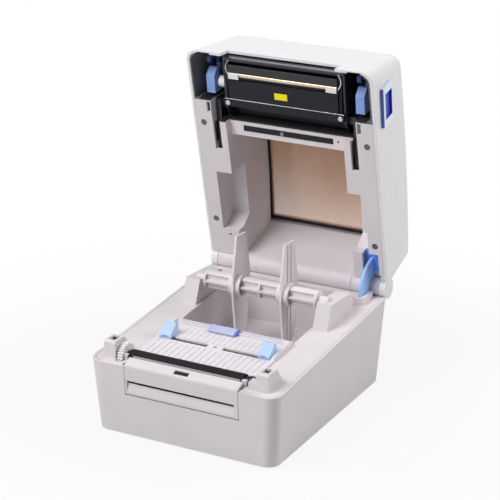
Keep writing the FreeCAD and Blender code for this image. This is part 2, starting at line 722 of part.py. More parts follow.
def label_bed():
    front, back = "bed_front", "well_front"
    sheet = prism("bed_sheet", [(front, deck(front)), (back, deck(back)),
                                (back, deck(back, "bed_thickness")),
                                (front, deck(front, "bed_thickness"))], "X", ("-bed_half", "bed_half"))
    rear = "well_front - 6"
    bar = prism("bed_bar", [(rear, deck(rear, "bed_thickness - 0.5")),
                            (back, deck(back, "bed_thickness - 0.5")),
                            (back, deck(back, "bed_thickness + 2")),
                            (rear, deck(rear, "bed_thickness + 2"))],
                "X", ("-bed_half + 3", "bed_half - 3"))
    arch = prism("bed_arch", [("slot_y - 5", deck("slot_y - 5", "bed_thickness - 0.5")),
                              ("slot_y", deck("slot_y", "bed_thickness + 2.2")),
                              ("slot_y + 8", deck("slot_y + 8", "bed_thickness + 3.6")),
                              (rear, deck(rear, "bed_thickness + 3.6")),
                              (back, deck(back, "bed_thickness + 2")),
                              (back, deck(back, "bed_thickness - 0.5"))], "X", ("bed_half - 3", "bed_half"))
    rib_top = "bed_thickness + rib_height"
    rib_end = "slot_y - 5"
    rib_side = [(front, deck(front, "bed_thickness - 0.5")),
                (f"{front} + 0.6", deck(front, "bed_thickness + 0.2")),
                (f"{front} + 4", deck(f"{front} + 4", rib_top)),
                (f"{rib_end} - 2", deck(f"{rib_end} - 2", rib_top)),
                (rib_end, deck(rib_end, "bed_thickness - 0.5"))]
    ribs = []
    for i in range(int(number("rib_count"))):
        place = f"({i} - (rib_count - 1) / 2) * rib_pitch"
        ribs.append(prism(f"rib_{i}", rib_side, "X", (f"{place} - rib_width/2", f"{place} + rib_width/2")))
    body = fuse("bed_pieces", sheet, bar, *both("bed_arch_left", arch), *ribs)
    slot = box("guide_slot", ("8", "guide_inner + guide_width - 1.5"),
               ("slot_y - slot_width/2", "slot_y + slot_width/2"), ("deck_front - 10", "deck_front + 30"))
    channel = prism("slide_channel", [(f"{rear} + 1.6", deck(rear, "bed_thickness + 0.3")),
                                      (f"{rear} + 4.4", deck(rear, "bed_thickness + 0.3")),
                                      (f"{rear} + 4.4", deck(rear, "20")),
                                      (f"{rear} + 1.6", deck(rear, "20"))],
                    "X", ("-bed_half + 8", "bed_half - 8"))
    stud_hole = rod("pinion_hole", "2.02", "Z", ("deck_front - 20", "deck_front + 30"), ("0", "slot_y"))
    subpart("label_bed", cut("bed_body", body, *both("guide_slot_left", slot), channel, stud_hole),
            closed_place)
    low, high = "slot_y + 5", "well_front - 10"
    strip = prism("scale_strip", [(low, deck(low, "bed_thickness")), (high, deck(high, "bed_thickness")),
                                  (high, deck(high, "bed_thickness + 0.4")),
                                  (low, deck(low, "bed_thickness + 0.4"))],
                  "X", ("-guide_inner - 6", "guide_inner + 6"))
    subpart("label_scale", strip, closed_place)
    sensor_slider(rear)
    label_guides()


def sensor_slider(rear):
    bed = "bed_thickness"
    tab = prism("slider_tab", [(f"{rear} - 6", deck(rear, f"{bed} + 0.8")),
                               (f"{rear} - 6", deck(rear, f"{bed} + 1.8")),
                               (f"{rear} - 1", deck(rear, f"{bed} + 4.2")),
                               (f"{rear} + 4", deck(rear, f"{bed} + 4.4")),
                               (f"{rear} + 4", deck(rear, f"{bed} + 2.8")),
                               (f"{rear} - 0.4", deck(rear, f"{bed} + 2.6")),
                               (f"{rear} - 0.4", deck(rear, f"{bed} + 0.8"))], "X", ("-22", "8"))
    tongue = prism("slider_tongue", [(f"{rear} + 2", deck(rear, f"{bed} + 0.6")),
                                     (f"{rear} + 4", deck(rear, f"{bed} + 0.6")),
                                     (f"{rear} + 4", deck(rear, f"{bed} + 3.2")),
                                     (f"{rear} + 2", deck(rear, f"{bed} + 3.2"))],
                   "X", ("-20", "6"))
    subpart("sensor_slider", fuse("slider_body", tab, tongue), closed_place)


def rack(name, turn):
    """Toothed bar under the bed, with its foot; turned half round for the guide on the other side."""
    module, pitch_line = number("rack_module"), number("rack_radius + 0.12")
    pitch = 3.14159265 * module
    base, tip = pitch_line + 1.3 * module, pitch_line - 0.95 * module
    lean = 0.36397 * module
    half = pitch / 4 - 0.06
    first, last = -4, 14
    points = [Vector((first - 0.5) * pitch, base + 3.6 * module, 0), Vector((first - 0.5) * pitch, base, 0)]
    for i in range(first, last + 1):
        middle = i * pitch
        points += [Vector(middle - half - 1.3 * lean, base, 0), Vector(middle - half + 0.95 * lean, tip, 0),
                   Vector(middle + half - 0.95 * lean, tip, 0), Vector(middle + half + 1.3 * lean, base, 0)]
    end = number("guide_inner + 8")
    points += [Vector(end, base, 0), Vector(end, base + 3.6 * module, 0), points[0]]
    bar = Part.Face(Part.makePolygon(points)).extrude(Vector(0, 0, number("rack_depth")))
    solid = doc.addObject("Part::Feature", name)
    solid.Shape = bar
    solid.Placement = Placement(Vector(0, number("slot_y"), number("rack_top - rack_depth")),
                                Rotation(Vector(0, 0, 1), turn))
    return solid


def label_guides():
    inner, outer = "guide_inner", "guide_inner + guide_width"
    front = "slot_y - 3"
    seat = "bed_thickness + 0.5"
    back = f"{front} + guide_depth"
    top = f"{seat} + guide_height"
    wedge = prism("guide_wedge", [(front, deck(front, seat)), (front, deck(front, f"{seat} + 3")),
                                  (f"{front} + 9.5", deck(front, f"{top} - 0.6")),
                                  (f"{back} - 3", deck(front, top)),
                                  (f"{back} - 1", deck(front, f"{top} - 0.8")),
                                  (back, deck(front, f"{top} - 2.6")),
                                  (back, deck(back, seat))], "X", (inner, outer))
    nick = box("guide_nick", (f"{inner} + 3", f"{outer} - 4"), (f"{front} - 1", f"{front} + 1.6"),
               (deck(front, f"{seat} + 0.8"), deck(front, f"{seat} + 2.2")))
    body = cut("guide_shape", wedge, nick)
    stem_x = ("guide_inner + 3", "guide_inner + 8")
    stem = box("guide_stem", stem_x, ("slot_y - slot_width/2 + 0.3", "slot_y + slot_width/2 - 0.3"),
               ("rack_top - rack_depth", deck("slot_y", "bed_thickness + 1")))
    foot = box("guide_foot", stem_x, ("slot_y - slot_width/2 + 0.3", "slot_y + rack_radius + 3"),
               ("rack_top - rack_depth", "rack_top"))
    subpart("guide_right", fuse("guide_right_body", body, stem, foot, rack("rack_right", 0)), closed_place)
    foot_left = box("guide_foot_left", (f"-({stem_x[1]})", f"-({stem_x[0]})"),
                    ("slot_y - rack_radius - 3", "slot_y + slot_width/2 - 0.3"),
                    ("rack_top - rack_depth", "rack_top"))
    left = [mirror("guide_shape_left", body), mirror("guide_stem_left", stem), foot_left,
            rack("rack_left", 180)]
    subpart("guide_left", fuse("guide_left_body", *left), closed_place)
    pinion = gear("pinion_wheel", "rack_teeth", "rack_module", "Z", ("rack_top - rack_depth", "rack_top"),
                  ("0", "slot_y"), 0, "2.05")
    subpart("guide_pinion", pinion, closed_place)
    stud = fuse("pinion_stud_body", rod("stud_pin", "2.0", "Z", ("rack_top - rack_depth - 1.5",
                deck("slot_y", "bed_thickness")), ("0", "slot_y")),
                rod("pinion_washer", "3.6", "Z",
                    ("rack_top - rack_depth - 1.5", "rack_top - rack_depth - 0.2"),
                    ("0", "slot_y")))
    subpart("pinion_stud", stud, closed_place)


# Platen roller and the gear train that drives it.

def platen():
    axis = ("platen_y", "platen_height")
    subpart("platen_shaft", rod("shaft_rod", "shaft_radius", "X", ("gear_left", "bush_right + bush_width"),
                                axis),
            closed_place)
    sleeve = cut("rubber_sleeve", rod("rubber_outer", "platen_radius", "X", ("platen_left", "platen_right"),
                                      axis),
                 rod("rubber_bore", "shaft_radius", "X", ("platen_left - 1", "platen_right + 1"), axis))
    subpart("platen_rubber", sleeve, closed_place)
    wheel = gear("platen_wheel", "platen_teeth", "gear_module", "X", ("gear_left", "gear_right"), axis, 0,
                 "shaft_radius")
    subpart("platen_gear", wheel, closed_place)
    bushes = []
    flange = rod("bush_flange", "flange_radius", "X", ("flange_left", "flange_right"), axis)
    rings = {"left": [rod("bush_ring_left", "bush_radius", "X", ("bush_left", "bush_left + bush_width"),
                          axis)],
             "right": [rod("bush_ring_right", "bush_radius", "X", ("bush_right", "flange_right"), axis),
                       flange]}
    for label, solids in rings.items():
        bore = rod(f"bush_bore_{label}", "shaft_radius + run_gap", "X",
                   (f"bush_{label} - 1", f"bush_{label} + bush_width + 0.5"), axis)
        ring = fuse("bush_flanged", *solids) if len(solids) > 1 else solids[0]
        bushes.append(cut(f"bush_{label}", ring, bore))
    subpart("platen_bushes", bushes, closed_place)


def gear_train():
    idler_angle, motor_angle = number("idler_angle"), number("motor_angle")
    idler_turn = mesh_turn(0, "platen_teeth", "idler_teeth", idler_angle)
    pinion_turn = mesh_turn(idler_turn, "idler_teeth", "pinion_teeth", motor_angle)
    idler_axis, motor_axis = ("idler_y", "idler_z"), ("motor_y", "motor_z")
    span = ("gear_left", "gear_right")
    wheel = gear("idler_wheel", "idler_teeth", "gear_module", "X", span, idler_axis, idler_turn,
                 "stud_radius + run_gap")
    subpart("idler_gear", wheel, closed_place)
    pinion = gear("pinion_gear", "pinion_teeth", "gear_module", "X", span, motor_axis, pinion_turn, "1")
    shaft = rod("motor_shaft", "stud_radius", "X", ("gear_left", "gear_right + 0.4 + plate_thickness + 5"),
                motor_axis)
    subpart("motor_pinion", fuse("motor_pinion_body", pinion, shaft), closed_place)
    low, high = "gear_right + 0.4", "gear_right + 0.4 + plate_thickness"
    plate = prism("drive_sheet", [("platen_y + 12", "floor_top"), ("motor_y + 25", "floor_top"),
                                  ("motor_y + 25", "motor_z + 24"), ("platen_y + 12", "motor_z + 24")], "X",
                                  (low, high))
    foot = box("drive_foot", (low, f"{high} + 14"), ("motor_y - 25", "motor_y + 25"),
               ("floor_top", "floor_top + plate_thickness"))
    stud = rod("idler_stud", "stud_radius", "X", ("gear_left - 0.8", high), idler_axis)
    holes = [rod("motor_pilot", "11.1", "X", (f"{low} - 1", f"{high} + 1"), motor_axis)]
    screws, sockets = [], []
    for i, (way, spot) in enumerate(zip((-1, 1), drive_foot_holes())):
        place = (f"motor_y + {way} * 15.5", f"motor_z + {way} * 15.5")
        holes.append(rod(f"motor_hole_{i}", "1.6", "X", (f"{low} - 1", f"{high} + 1"), place))
        sockets.append(rod(f"motor_socket_{i}", "1.52", "X", (f"{high} - 1", f"{high} + 7"), place))
        head = rod(f"motor_head_{i}", "2.8", "X", (f"{low} - 2.2", low), place)
        shank = rod(f"motor_shank_{i}", "1.5", "X", (low, f"{high} + 6"), place)
        screws.append(fuse(f"motor_screw_{i}", head, shank))
        holes.append(rod(f"foot_hole_{i}", "1.6", "Z", ("0", "floor_top + 5"), spot))
        head = rod(f"foot_head_{i}", "2.8", "Z",
                   ("floor_top + plate_thickness", "floor_top + plate_thickness + 2"), spot)
        shank = rod(f"foot_shank_{i}", "1.4", "Z", ("foot_height + 0.4", "floor_top + plate_thickness"),
                    spot)
        screws.append(fuse(f"foot_screw_{i}", head, shank))
    subpart("drive_plate", cut("drive_body", fuse("drive_pieces", plate, foot, stud), *holes), closed_place)
    subpart("drive_screws", screws, closed_place)
    half = "motor_size / 2"
    chamfer = "5"
    can_side = []
    for y_way, z_way in ((-1, -1), (1, -1), (1, 1), (-1, 1)):
        near = (f"motor_y + {y_way} * ({half} - {chamfer})", f"motor_z + {z_way} * {half}")
        far = (f"motor_y + {y_way} * {half}", f"motor_z + {z_way} * ({half} - {chamfer})")
        can_side += [far, near] if y_way * z_way > 0 else [near, far]
    can = prism("motor_can", can_side, "X", (high, f"{high} + motor_length"))
    boss = rod("motor_boss", "11", "X", (f"{high} - 1.6", high), motor_axis)
    bore = rod("motor_bore", "stud_radius + run_gap", "X", (f"{high} - 3", f"{high} + 7"), motor_axis)
    subpart("stepper_motor", cut("motor_body", fuse("motor_pieces", can, boss), bore, *sockets),
            closed_place)


# Electronics behind and under the roll well.

def electronics():
    board = box("board_sheet", ("-board_half", "board_half"), ("board_front", "board_back"),
                ("board_height", "board_top"))
    holes, screws = [], []
    for i, place in enumerate(board_holes()):
        holes.append(rod(f"board_hole_{i}", "1.6", "Z", ("board_height - 1", "board_top + 1"), place))
        head = rod(f"board_head_{i}", "3", "Z", ("board_top", "board_top + 2"), place)
        shank = rod(f"board_shank_{i}", "1.4", "Z", ("board_height - 7", "board_top"), place)
        screws.append(fuse(f"board_screw_{i}", head, shank))
    subpart("main_board", cut("board_body", board, *holes), closed_place)
    subpart("board_screws", screws, closed_place)
    parts = [box("processor", ("-24", "-4"), ("board_front + 30", "board_front + 50"),
                 ("board_top", "board_top + 1.6")),
             box("memory_chip", ("4", "18"), ("board_front + 32", "board_front + 48"),
                 ("board_top", "board_top + 1.2")),
             box("head_socket", ("-60", "-36"), ("board_front + 12", "board_front + 20"),
                 ("board_top", "board_top + 7")),
             box("motor_socket", ("-60", "-48"), ("board_front + 34", "board_front + 42"),
                 ("board_top", "board_top + 7")),
             box("sensor_socket", ("30", "46"), ("board_front + 12", "board_front + 18"),
                 ("board_top", "board_top + 6"))]
    parts += [rod(f"capacitor_{i}", "6", "Z", ("board_top", "board_top + 15"),
                  (f"{36 + 15 * i}", "board_front + 66"))
              for i in range(2)]
    subpart("board_parts", parts, closed_place)
    wall_inside = f"{back_y('socket_z')} - case_wall - 1.2"
    sleeve = fuse("dc_pieces", box("dc_block", ("dc_place - 7", "dc_place + 7"),
                                   ("board_back - 16", wall_inside),
                                   ("board_top", "board_top + 11.2")),
                  rod("dc_barrel", "5.3", "Y", (f"{wall_inside} - 1", back_y("socket_z")),
                      ("dc_place", "socket_z")))
    socket = cut("dc_hollow", rod("dc_bore", "3.2", "Y", (f"{wall_inside} - 7", f"{wall_inside} + 9"),
                                  ("dc_place", "socket_z")),
                 rod("dc_pin", "1.05", "Y", (f"{wall_inside} - 8", f"{wall_inside} + 2"),
                     ("dc_place", "socket_z")))
    subpart("dc_inlet", cut("dc_body", sleeve, socket), closed_place)
    shell = box("usb_block", ("usb_place - 6", "usb_place + 6"),
                ("board_back - 13", back_y("board_top + 5")),
                ("board_top", "board_top + 11"))
    mouth = cut("usb_hollow", box("usb_mouth", ("usb_place - 4.3", "usb_place + 4.3"),
                                  ("board_back - 4", "base_depth + 5"),
                                  ("board_top + 1.6", "board_top + 9.4")),
                box("usb_tongue", ("usb_place - 2.8", "usb_place + 2.8"),
                    ("board_back - 5", "board_back + 3"),
                    ("board_top + 3.9", "board_top + 7.1")))
    subpart("usb_port", cut("usb_body", shell, mouth), closed_place)
    power_switch()


def power_switch():
    face = back_y("switch_height + 9.5")
    body = box("switch_block", ("switch_place - 10", "switch_place + 10"),
               (f"{face} - 20", f"{face} + 0.5"),
               ("switch_height - 7", "switch_height + 7"))
    flange = box("switch_flange", ("switch_place - 12.5", "switch_place + 12.5"),
                 (f"{face} + 0.1", f"{face} + 1.7"),
                 ("switch_height - 9.5", "switch_height + 9.5"))
    hollow = box("switch_hollow", ("switch_place - 8.5", "switch_place + 8.5"),
                 (f"{face} - 8", f"{face} + 3"),
                 ("switch_height - 6.2", "switch_height + 6.2"))
    pivot = rod("switch_pivot", "1.06", "X", ("switch_place - 9.6", "switch_place + 9.6"),
                (f"{face} - 1.5", "switch_height"))
    subpart("switch_body", cut("switch_shape", fuse("switch_pieces", body, flange), hollow, pivot),
            closed_place)
    side = [(f"{face} - 5", "switch_height - 5.2"), (f"{face} + 2.4", "switch_height - 5.2"),
            (f"{face} + 1.4", "switch_height"), (f"{face} + 2.4", "switch_height + 5.2"),
            (f"{face} - 5", "switch_height + 5.2")]
    rocker = fuse("rocker_body", prism("rocker_block", side, "X",
                                       ("switch_place - 8.2", "switch_place + 8.2")),
                  rod("rocker_pin", "1", "X", ("switch_place - 9.4", "switch_place + 9.4"),
                      (f"{face} - 1.5", "switch_height")))
    centre = Vector(0, number(f"{face} - 1.5"), number("switch_height"))
    tilt = Placement(Vector(), Rotation(Vector(1, 0, 0), -7), centre)
    subpart("switch_rocker", rocker, closed_place * tilt)


# Label roll spindle with its two sliding tabs.

def spindle():
    axis = ("spindle_y", "spindle_height")
    end = "well_half + well_wall + trunnion_length"
    reach = "(well_half - 0.4)"
    pieces = [rod("trunnions", "trunnion_radius", "X", (f"-({end})", end), axis),
              rod("spindle_bar", "spindle_radius", "X", (f"-{reach}", reach), axis)]
    pitch = f"(2 * {reach} - spindle_rail) / spindle_bays"
    levels = (("spindle_rail/2", "spindle_radius - spindle_cap"),
              ("spindle_cap - spindle_radius", "-spindle_rail/2"))
    sides = (("-spindle_radius - 1", "-spindle_web/2"), ("spindle_web/2", "spindle_radius + 1"))
    bays = []
    for i in range(int(number("spindle_bays"))):
        start = f"-{reach} + spindle_rail + {i} * {pitch}"
        for low, high in levels:
            for near, far in sides:
                bays.append(box(f"spindle_bay_{len(bays)}", (start, f"{start} + {pitch} - spindle_rail"),
                                (f"spindle_y + {near}", f"spindle_y + {far}"),
                                (f"spindle_height + {low}", f"spindle_height + {high}")))
    subpart("roll_spindle", cut("spindle_body", fuse("spindle_pieces", *pieces), *bays), closed_place)
    roll_tabs(axis)


def roll_tabs(axis):
    side = [(f"spindle_y + {y}", f"spindle_height + {z}") for y, z in
            (("(-5.5)", "tab_reach"), ("13", "tab_reach - 1"), ("20", "14"), ("21", "(-5)"),
             ("14", "(-tab_reach + 5)"),
             ("8", "(-tab_reach - 4)"), ("(-7)", "(-tab_reach - 4)"), ("(-13.5)", "(-4)"), ("(-12)", "16"))]
    face = ("tab_spread - tab_thickness/2", "tab_spread + tab_thickness/2")
    plate = prism("tab_plate", side, "X", face)
    hub = rod("tab_sleeve", "tab_hub", "X", ("tab_spread - 6", "tab_spread + 6"), axis)
    bore = rod("tab_bore", "spindle_radius + 0.4", "X", ("tab_spread - 10", "tab_spread + 10"), axis)
    plain = cut("tab_shape", fuse("tab_pieces", plate, hub), bore)
    subpart("roll_tab_left", mirror("tab_left_body", plain), closed_place)
    ribs = []
    for y in (0, 7):
        for low, high in (("tab_hub - 1", "tab_reach - 2"), ("1 - tab_reach", "1 - tab_hub")):
            ribs.append(box(f"tab_rib_{len(ribs)}", (f"{face[1]} - 0.2", f"{face[1]} + 1"),
                            (f"spindle_y + {y} - 1.4", f"spindle_y + {y} + 1.4"),
                            (f"spindle_height + {low}", f"spindle_height + {high}")))
    subpart("roll_tab_right", fuse("tab_right_body", plain, *ribs), closed_place)


# Lid: outer cover, inner liner, window.

def lid_hull(name, inset, top_inset, drop):
    """The closed lid's outer form, drawn in by insets at its sides and top."""
    rates = {way: f"lid_{way}_lean / lid_crown" for way in ("side", "front", "rear")}
    low = quad(name + "_low", f"lid_front + {inset} - {rates['front']} * {drop}",
               f"lid_back - {inset} + {rates['rear']} * {drop}",
               f"case_half - {inset} + {rates['side']} * {drop}",
               f"case_half - {inset} + {rates['side']} * {drop}", True, f"rim_front - {drop}")
    top = "lid_top + 6"
    front = f"lid_front + {inset} + {rates['front']} * ({top} - {rim('lid_front')})"
    back = f"lid_back - {inset} - {rates['rear']} * ({top} - {rim('lid_back')})"
    halves = [f"case_half - {inset} - {rates['side']} * ({top} - {rim(edge)})" for edge in (front, back)]
    high = quad(name + "_high", front, back, *halves, False, top)
    crown = rod(name + "_crown", f"lid_top_radius - {top_inset}", "X", ("-base_width", "base_width"),
                ("lid_crest", "lid_top - lid_top_radius"))
    block = common(name + "_block", loft(name + "_sides", low, high), crown)
    tall, top_low = number("lid_crown / 3"), number("lid_top - 16")
    corner_round, top_round = number(f"lid_corner - {inset}"), number(f"lid_round - {top_inset}")
    corners = fillet(name + "_corners", block,
                     lambda edge: corner_round if edge.BoundBox.ZLength > tall else 0)
    return fillet(name, corners, lambda edge: top_round if edge.BoundBox.ZMin > top_low else 0)


def side_x(y, z):
    """Outer face of the closed lid's side wall."""
    return f"(case_half - lid_side_lean / lid_crown * (({z}) - {rim(y)}))"


def lid_surface(y):
    """Top of the closed lid at a distance behind the front of the case."""
    return f"(lid_top - (lid_crest - ({y}))^2 / (2 * lid_top_radius))"


def lid_screw_places():
    return corners_of("case_half - 10.4", "liner_front + 24.5", "well_back - 32.2")


STEM_Y = ("button_front + 16", "button_front + 24")
STEM_Z = ("button_bottom + 9", "button_bottom + 17")


def lid_cover():
    outer = lid_hull("lid_outer", "0", "0", "0")
    shell = cut("lid_shell", outer, lid_hull("lid_inner", "lid_wall", "lid_wall", "4"))
    ear = rod("lid_ear", "barrel_radius", "X", ("knuckle_outer + side_gap", "case_half - ear_inset"),
              ("hinge_y", "hinge_z"))
    bosses = [rod(f"lid_boss_{i}", "3.4", "Z",
                  (rim(place[1], "liner_plate + 0.35"), lid_surface(place[1]) + " - 11"), place)
              for i, place in enumerate(lid_screw_places())]
    posts = [rod(f"panel_post_{i}", "3", "Z", (lid_surface("feed_y") + " - 16", lid_surface(y) + " - 1"),
                 ("feed_place - 10", y))
             for i, y in enumerate(("feed_y - 8", "feed_y + 22"))]
    body = fuse("lid_pieces", shell, *both("lid_ear_left", ear), *bosses, *posts)
    reach = "knuckle_outer + side_gap"
    cuts = [box("rear_opening", (f"-({reach})", reach), ("lid_back - 14", "lid_back + 14"),
                ("deck_front", "hinge_z + barrel_radius + 0.8")),
            box("exit_notch", ("-notch_width/2", "notch_width/2"), ("-5", "lid_front + 12"),
                ("0", rim("lid_front", "notch_height"))),
            box("window_opening", ("-window_half", "window_half"), ("window_front", "window_back"),
                ("lid_top - 30", "lid_top + 10")),
            rod("feed_hole", "feed_radius + 0.3", "Z", ("lid_top - 20", "lid_top + 10"),
                ("feed_place", "feed_y")),
            rod("lens_hole", "2.25", "Z", ("lid_top - 20", "lid_top + 10"), ("feed_place", "feed_y + 18"))]
    relief = common("bump_relief", lid_hull("relief_hull", "relief_wall", "lid_wall", "4"),
                    box("relief_room", ("bump_inner - 1.2", "bump_inner + bump_width + 1.2"),
                        ("-5", "bump_front + 8"),
                        ("0", "bump_top + 1")))
    cuts += both("bump_relief_left", relief)
    slot = box("latch_slot", ("case_half - 16", "case_half + 8"),
               (f"{STEM_Y[0]} - 0.6", f"{STEM_Y[1]} + latch_travel + 0.6"),
               (f"{STEM_Z[0]} - 0.5", f"{STEM_Z[1]} + 0.5"))
    cuts += both("latch_slot_left", slot)
    bore = rod("ear_bore", "pin_radius + run_gap", "X", ("knuckle_outer - 2", "knuckle_outer + 5.3"),
               ("hinge_y", "hinge_z"))
    cuts += both("ear_bore_left", bore)
    for i, place in enumerate(lid_screw_places()):
        cuts.append(rod(f"boss_bore_{i}", "1.42", "Z", (rim(place[1]), rim(place[1], "26")), place))
    subpart("lid_cover", cut("lid_body", body, *cuts), open_place)


def crown_sheet(name, over, thickness, x, y, hole=None):
    """Part of a sheet that follows the lid's top from inside, at a depth under it."""
    blank = box(name + "_blank", x, y, ("lid_top - 40", "lid_top"))
    if hole:
        blank = cut(name + "_frame", blank, box(name + "_hole", *hole, ("lid_top - 50", "lid_top + 10")))
    centre = ("lid_crest", "lid_top - lid_top_radius")
    wide = ("-base_width", "base_width")
    outer = rod(name + "_outer", f"lid_top_radius - {over}", "X", wide, centre)
    inner = rod(name + "_inner", f"lid_top_radius - {over} - {thickness}", "X", wide, centre)
    return cut(name, common(name + "_layer", blank, outer), inner)


def lid_window():
    def spread(grow):
        return ((f"-window_half - {grow}", f"window_half + {grow}"),
                (f"window_front - {grow}", f"window_back + {grow}"))
    pane = crown_sheet("window_pane", "lid_wall - 0.05", "pane_thickness", *spread("window_lap"))
    subpart("lid_window", pane, open_place)
    seal = crown_sheet("window_seal", "lid_wall - 0.05 - pane_thickness", "gasket_thickness",
                       *spread("window_lap"),
                       spread("0"))
    subpart("window_gasket", seal, open_place)


def lid_liner():
    hull = lid_hull("liner_hull", "(lid_wall + fit_gap)",
                    "(lid_wall + pane_thickness + gasket_thickness + 0.5)", "0")
    wall_out = "cavity_half + liner_wall"
    far = "base_width"
    low, high = "0", "lid_top + 20"
    back = "well_back + 0.3"
    trims = [box("liner_ahead", (f"-{far}", far), ("-20", "liner_front"), (low, high)),
             box("liner_behind", (f"-{far}", far), (back, "base_depth + 40"), (low, high)),
             box("liner_throat", ("-arm_inner - 6.5", "arm_inner + 6.5"), ("-20", "beam_front"),
                 (low, high)),
             box("liner_cavity", ("-cavity_half", "cavity_half"), ("-20", "base_depth + 40"), (low, high))]
    ceiling = "pocket_height + 5"
    upper = prism("liner_upper", [("-20", rim("-20", ceiling)),
                                  ("base_depth + 40", rim("base_depth + 40", ceiling)),
                                  ("base_depth + 40", high), ("-20", high)], "X", (wall_out, far))
    plate = "liner_plate"

    def hollow(name, start, end, x, floor=plate):
        return prism(name, [(start, rim(start, floor)), (end, rim(end, floor)), (end, high), (start, high)],
                     "X", x)
    pocket_front, pocket_back = "pillar_front - 3", "pillar_back + 3"
    edge = "case_half - 6.8"
    sides = [upper,
             hollow("hollow_outer", "liner_front + 3", f"{back} - 2.5", ("pocket_half + 2.5", edge)),
             hollow("hollow_front", "beam_front + 2.5", f"{pocket_front} - 2.5", (wall_out, edge)),
             hollow("hollow_strip", "liner_front + 3", "beam_front + 4", ("arm_inner + 9", edge)),
             hollow("hollow_back", f"{pocket_back} + 2.5", f"{back} - 2.5", (wall_out, edge)),
             hollow("hollow_above", f"{pocket_front} - 3", f"{pocket_back} + 3", (wall_out, edge),
                    "pocket_height + 2.5"),
             prism("liner_pocket", [(pocket_front, rim(pocket_front, "-5")),
                                    (pocket_back, rim(pocket_back, "-5")),
                                    (pocket_back, rim(pocket_back, "10")),
                                    (f"{pocket_back} - 9", rim(pocket_back, "pocket_height - 3")),
                                    (pocket_front, rim(pocket_front, "pocket_height"))], "X",
                                    ("cavity_half - 1", "pocket_half")),
             box("arm_slot", ("arm_inner - 1", "arm_inner + 6.5"), ("beam_front - 1", "pivot_y - 3"),
                 (low, rim("pivot_y", plate))),
             box("arm_gate", ("arm_inner - 1", "arm_inner + 6.5"), ("beam_front - 1", "beam_front + 3"),
                 (low, "pivot_height + 9"))]
    cuts = list(trims)
    for solid in sides:
        cuts += both(solid.Name + "_left", solid)
    plate_x, plate_y, plate_z = stay_plate()
    cuts.append(box("stay_pocket", (f"{plate_x[0]} - fit_gap", f"{plate_x[1]} + fit_gap"),
                    (f"{plate_y[0]} - fit_gap", "base_depth + 4"), (low, plate_z[1])))
    cuts += both("strip_slot_left", box("strip_slot", ("arm_inner + 7.6", "arm_inner + 11.4"),
                                        ("liner_front + 1.4", "liner_front + 12"),
                                        (low, rim("liner_front", "liner_plate + 2"))))
    cuts.append(box("clip_hole", ("-well_half - 14", "-well_half - 10.6"),
                    ("well_back - 17", "well_back - 15.4"),
                    (low, rim("well_back", "liner_plate"))))
    for i, place in enumerate(lid_screw_places()):
        cuts.append(rod(f"liner_hole_{i}", "1.7", "Z", (low, high), place))
        cuts.append(rod(f"liner_sink_{i}", "3.2", "Z", (low, rim(place[1], "1.6")), place))
    frame = cut("liner_frame", hull, *cuts)
    beam_low = rim("beam_front + beam_depth/2", "beam_recess")
    beam = box("liner_beam", ("-cavity_half - 0.5", "cavity_half + 0.5"),
               ("beam_front", "beam_front + beam_depth"),
               (beam_low, f"{beam_low} + beam_height"))
    groove = box("beam_groove", ("-48.3", "48.3"), ("beam_front + 4", "beam_front + 9.8"),
                 (f"{beam_low} - 1", f"{beam_low} + 1.2"))
    hole = rod("beam_hole", "1.2", "Z", (f"{beam_low} - 1", f"{beam_low} + 4"),
               ("53.5", "beam_front + 6.9"))
    rib = cut("pivot_rib", box("pivot_block",
                               ("arm_inner + arm_width + 1.6", "arm_inner + arm_width + 4.4"),
                               ("pivot_y - 8", "pivot_y + 8"), (rim("pivot_y", "1"), "pivot_height + 7")),
              rod("pivot_hole", "pivot_radius + 0.06", "X", ("arm_inner", "arm_inner + 20"),
                  ("pivot_y", "pivot_height")))
    rear = "hinge_y - barrel_radius"
    bend = (f"{rear} - rear_curve", "hinge_z")

    def curved(name, x, start, thin):
        """Rear of the liner, on an arc that meets the hinge barrel."""
        blank = box(name + "_blank", x, (start, f"{rear} + liner_wall"), ("hinge_z", "hinge_z + 58"))
        solid = common(name, blank, rod(name + "_outer", "rear_curve + liner_wall", "X", x, bend))
        if not thin:
            return solid
        return cut(name + "_thin", solid, rod(name + "_inner", "rear_curve", "X", x, bend))
    sheet = curved("liner_sheet", (f"-({wall_out})", wall_out), "well_back - 14", True)
    wing = curved("liner_wing", ("cavity_half", wall_out), "well_back - 3", False)
    skirt = prism("liner_skirt", [("well_back - 2.5", rim("well_back - 2.5")),
                                  (f"{rear} + 2", rim(f"{rear} + 2")),
                                  (f"{rear} + 2", "hinge_z + 7"), ("well_back - 2.5", "hinge_z + 14")], "X",
                  ("cavity_half", "case_half"))
    skirt = common("skirt_fitted", skirt, hull)
    room = rod("knuckle_room", "barrel_radius + 0.6", "X", ("knuckle_inner - side_gap", "base_width"),
               ("hinge_y", "hinge_z"))
    stay_room = box("stay_room", (f"{plate_x[0]} - fit_gap", f"{plate_x[1]} + 2"),
                    (f"{plate_y[0]} - fit_gap", "hinge_y"),
                    (low, plate_z[1]))
    back_sheet = cut("liner_back", fuse("liner_back_pieces", sheet, *both("liner_wing_left", wing),
                                        *both("liner_skirt_left", skirt)),
                     *both("knuckle_room_left", room), stay_room)
    barrel = rod("liner_barrel", "barrel_radius", "X",
                 ("-knuckle_inner + side_gap", "knuckle_inner - side_gap"), ("hinge_y", "hinge_z"))
    mount = box("stay_mount", (f"{wall_out} - 0.5", f"{edge} + 0.5"), (plate_y[0], back),
                (plate_z[1], f"{plate_z[1]} + 2.5"))
    body = fuse("liner_pieces", frame, cut("liner_beam_cut", beam, groove, hole),
                *both("pivot_rib_left", rib), back_sheet, barrel, mount)
    bore = rod("barrel_bore", "pin_radius + run_gap", "X", ("knuckle_inner - 9", "knuckle_inner + 2"),
               ("hinge_y", "hinge_z"))
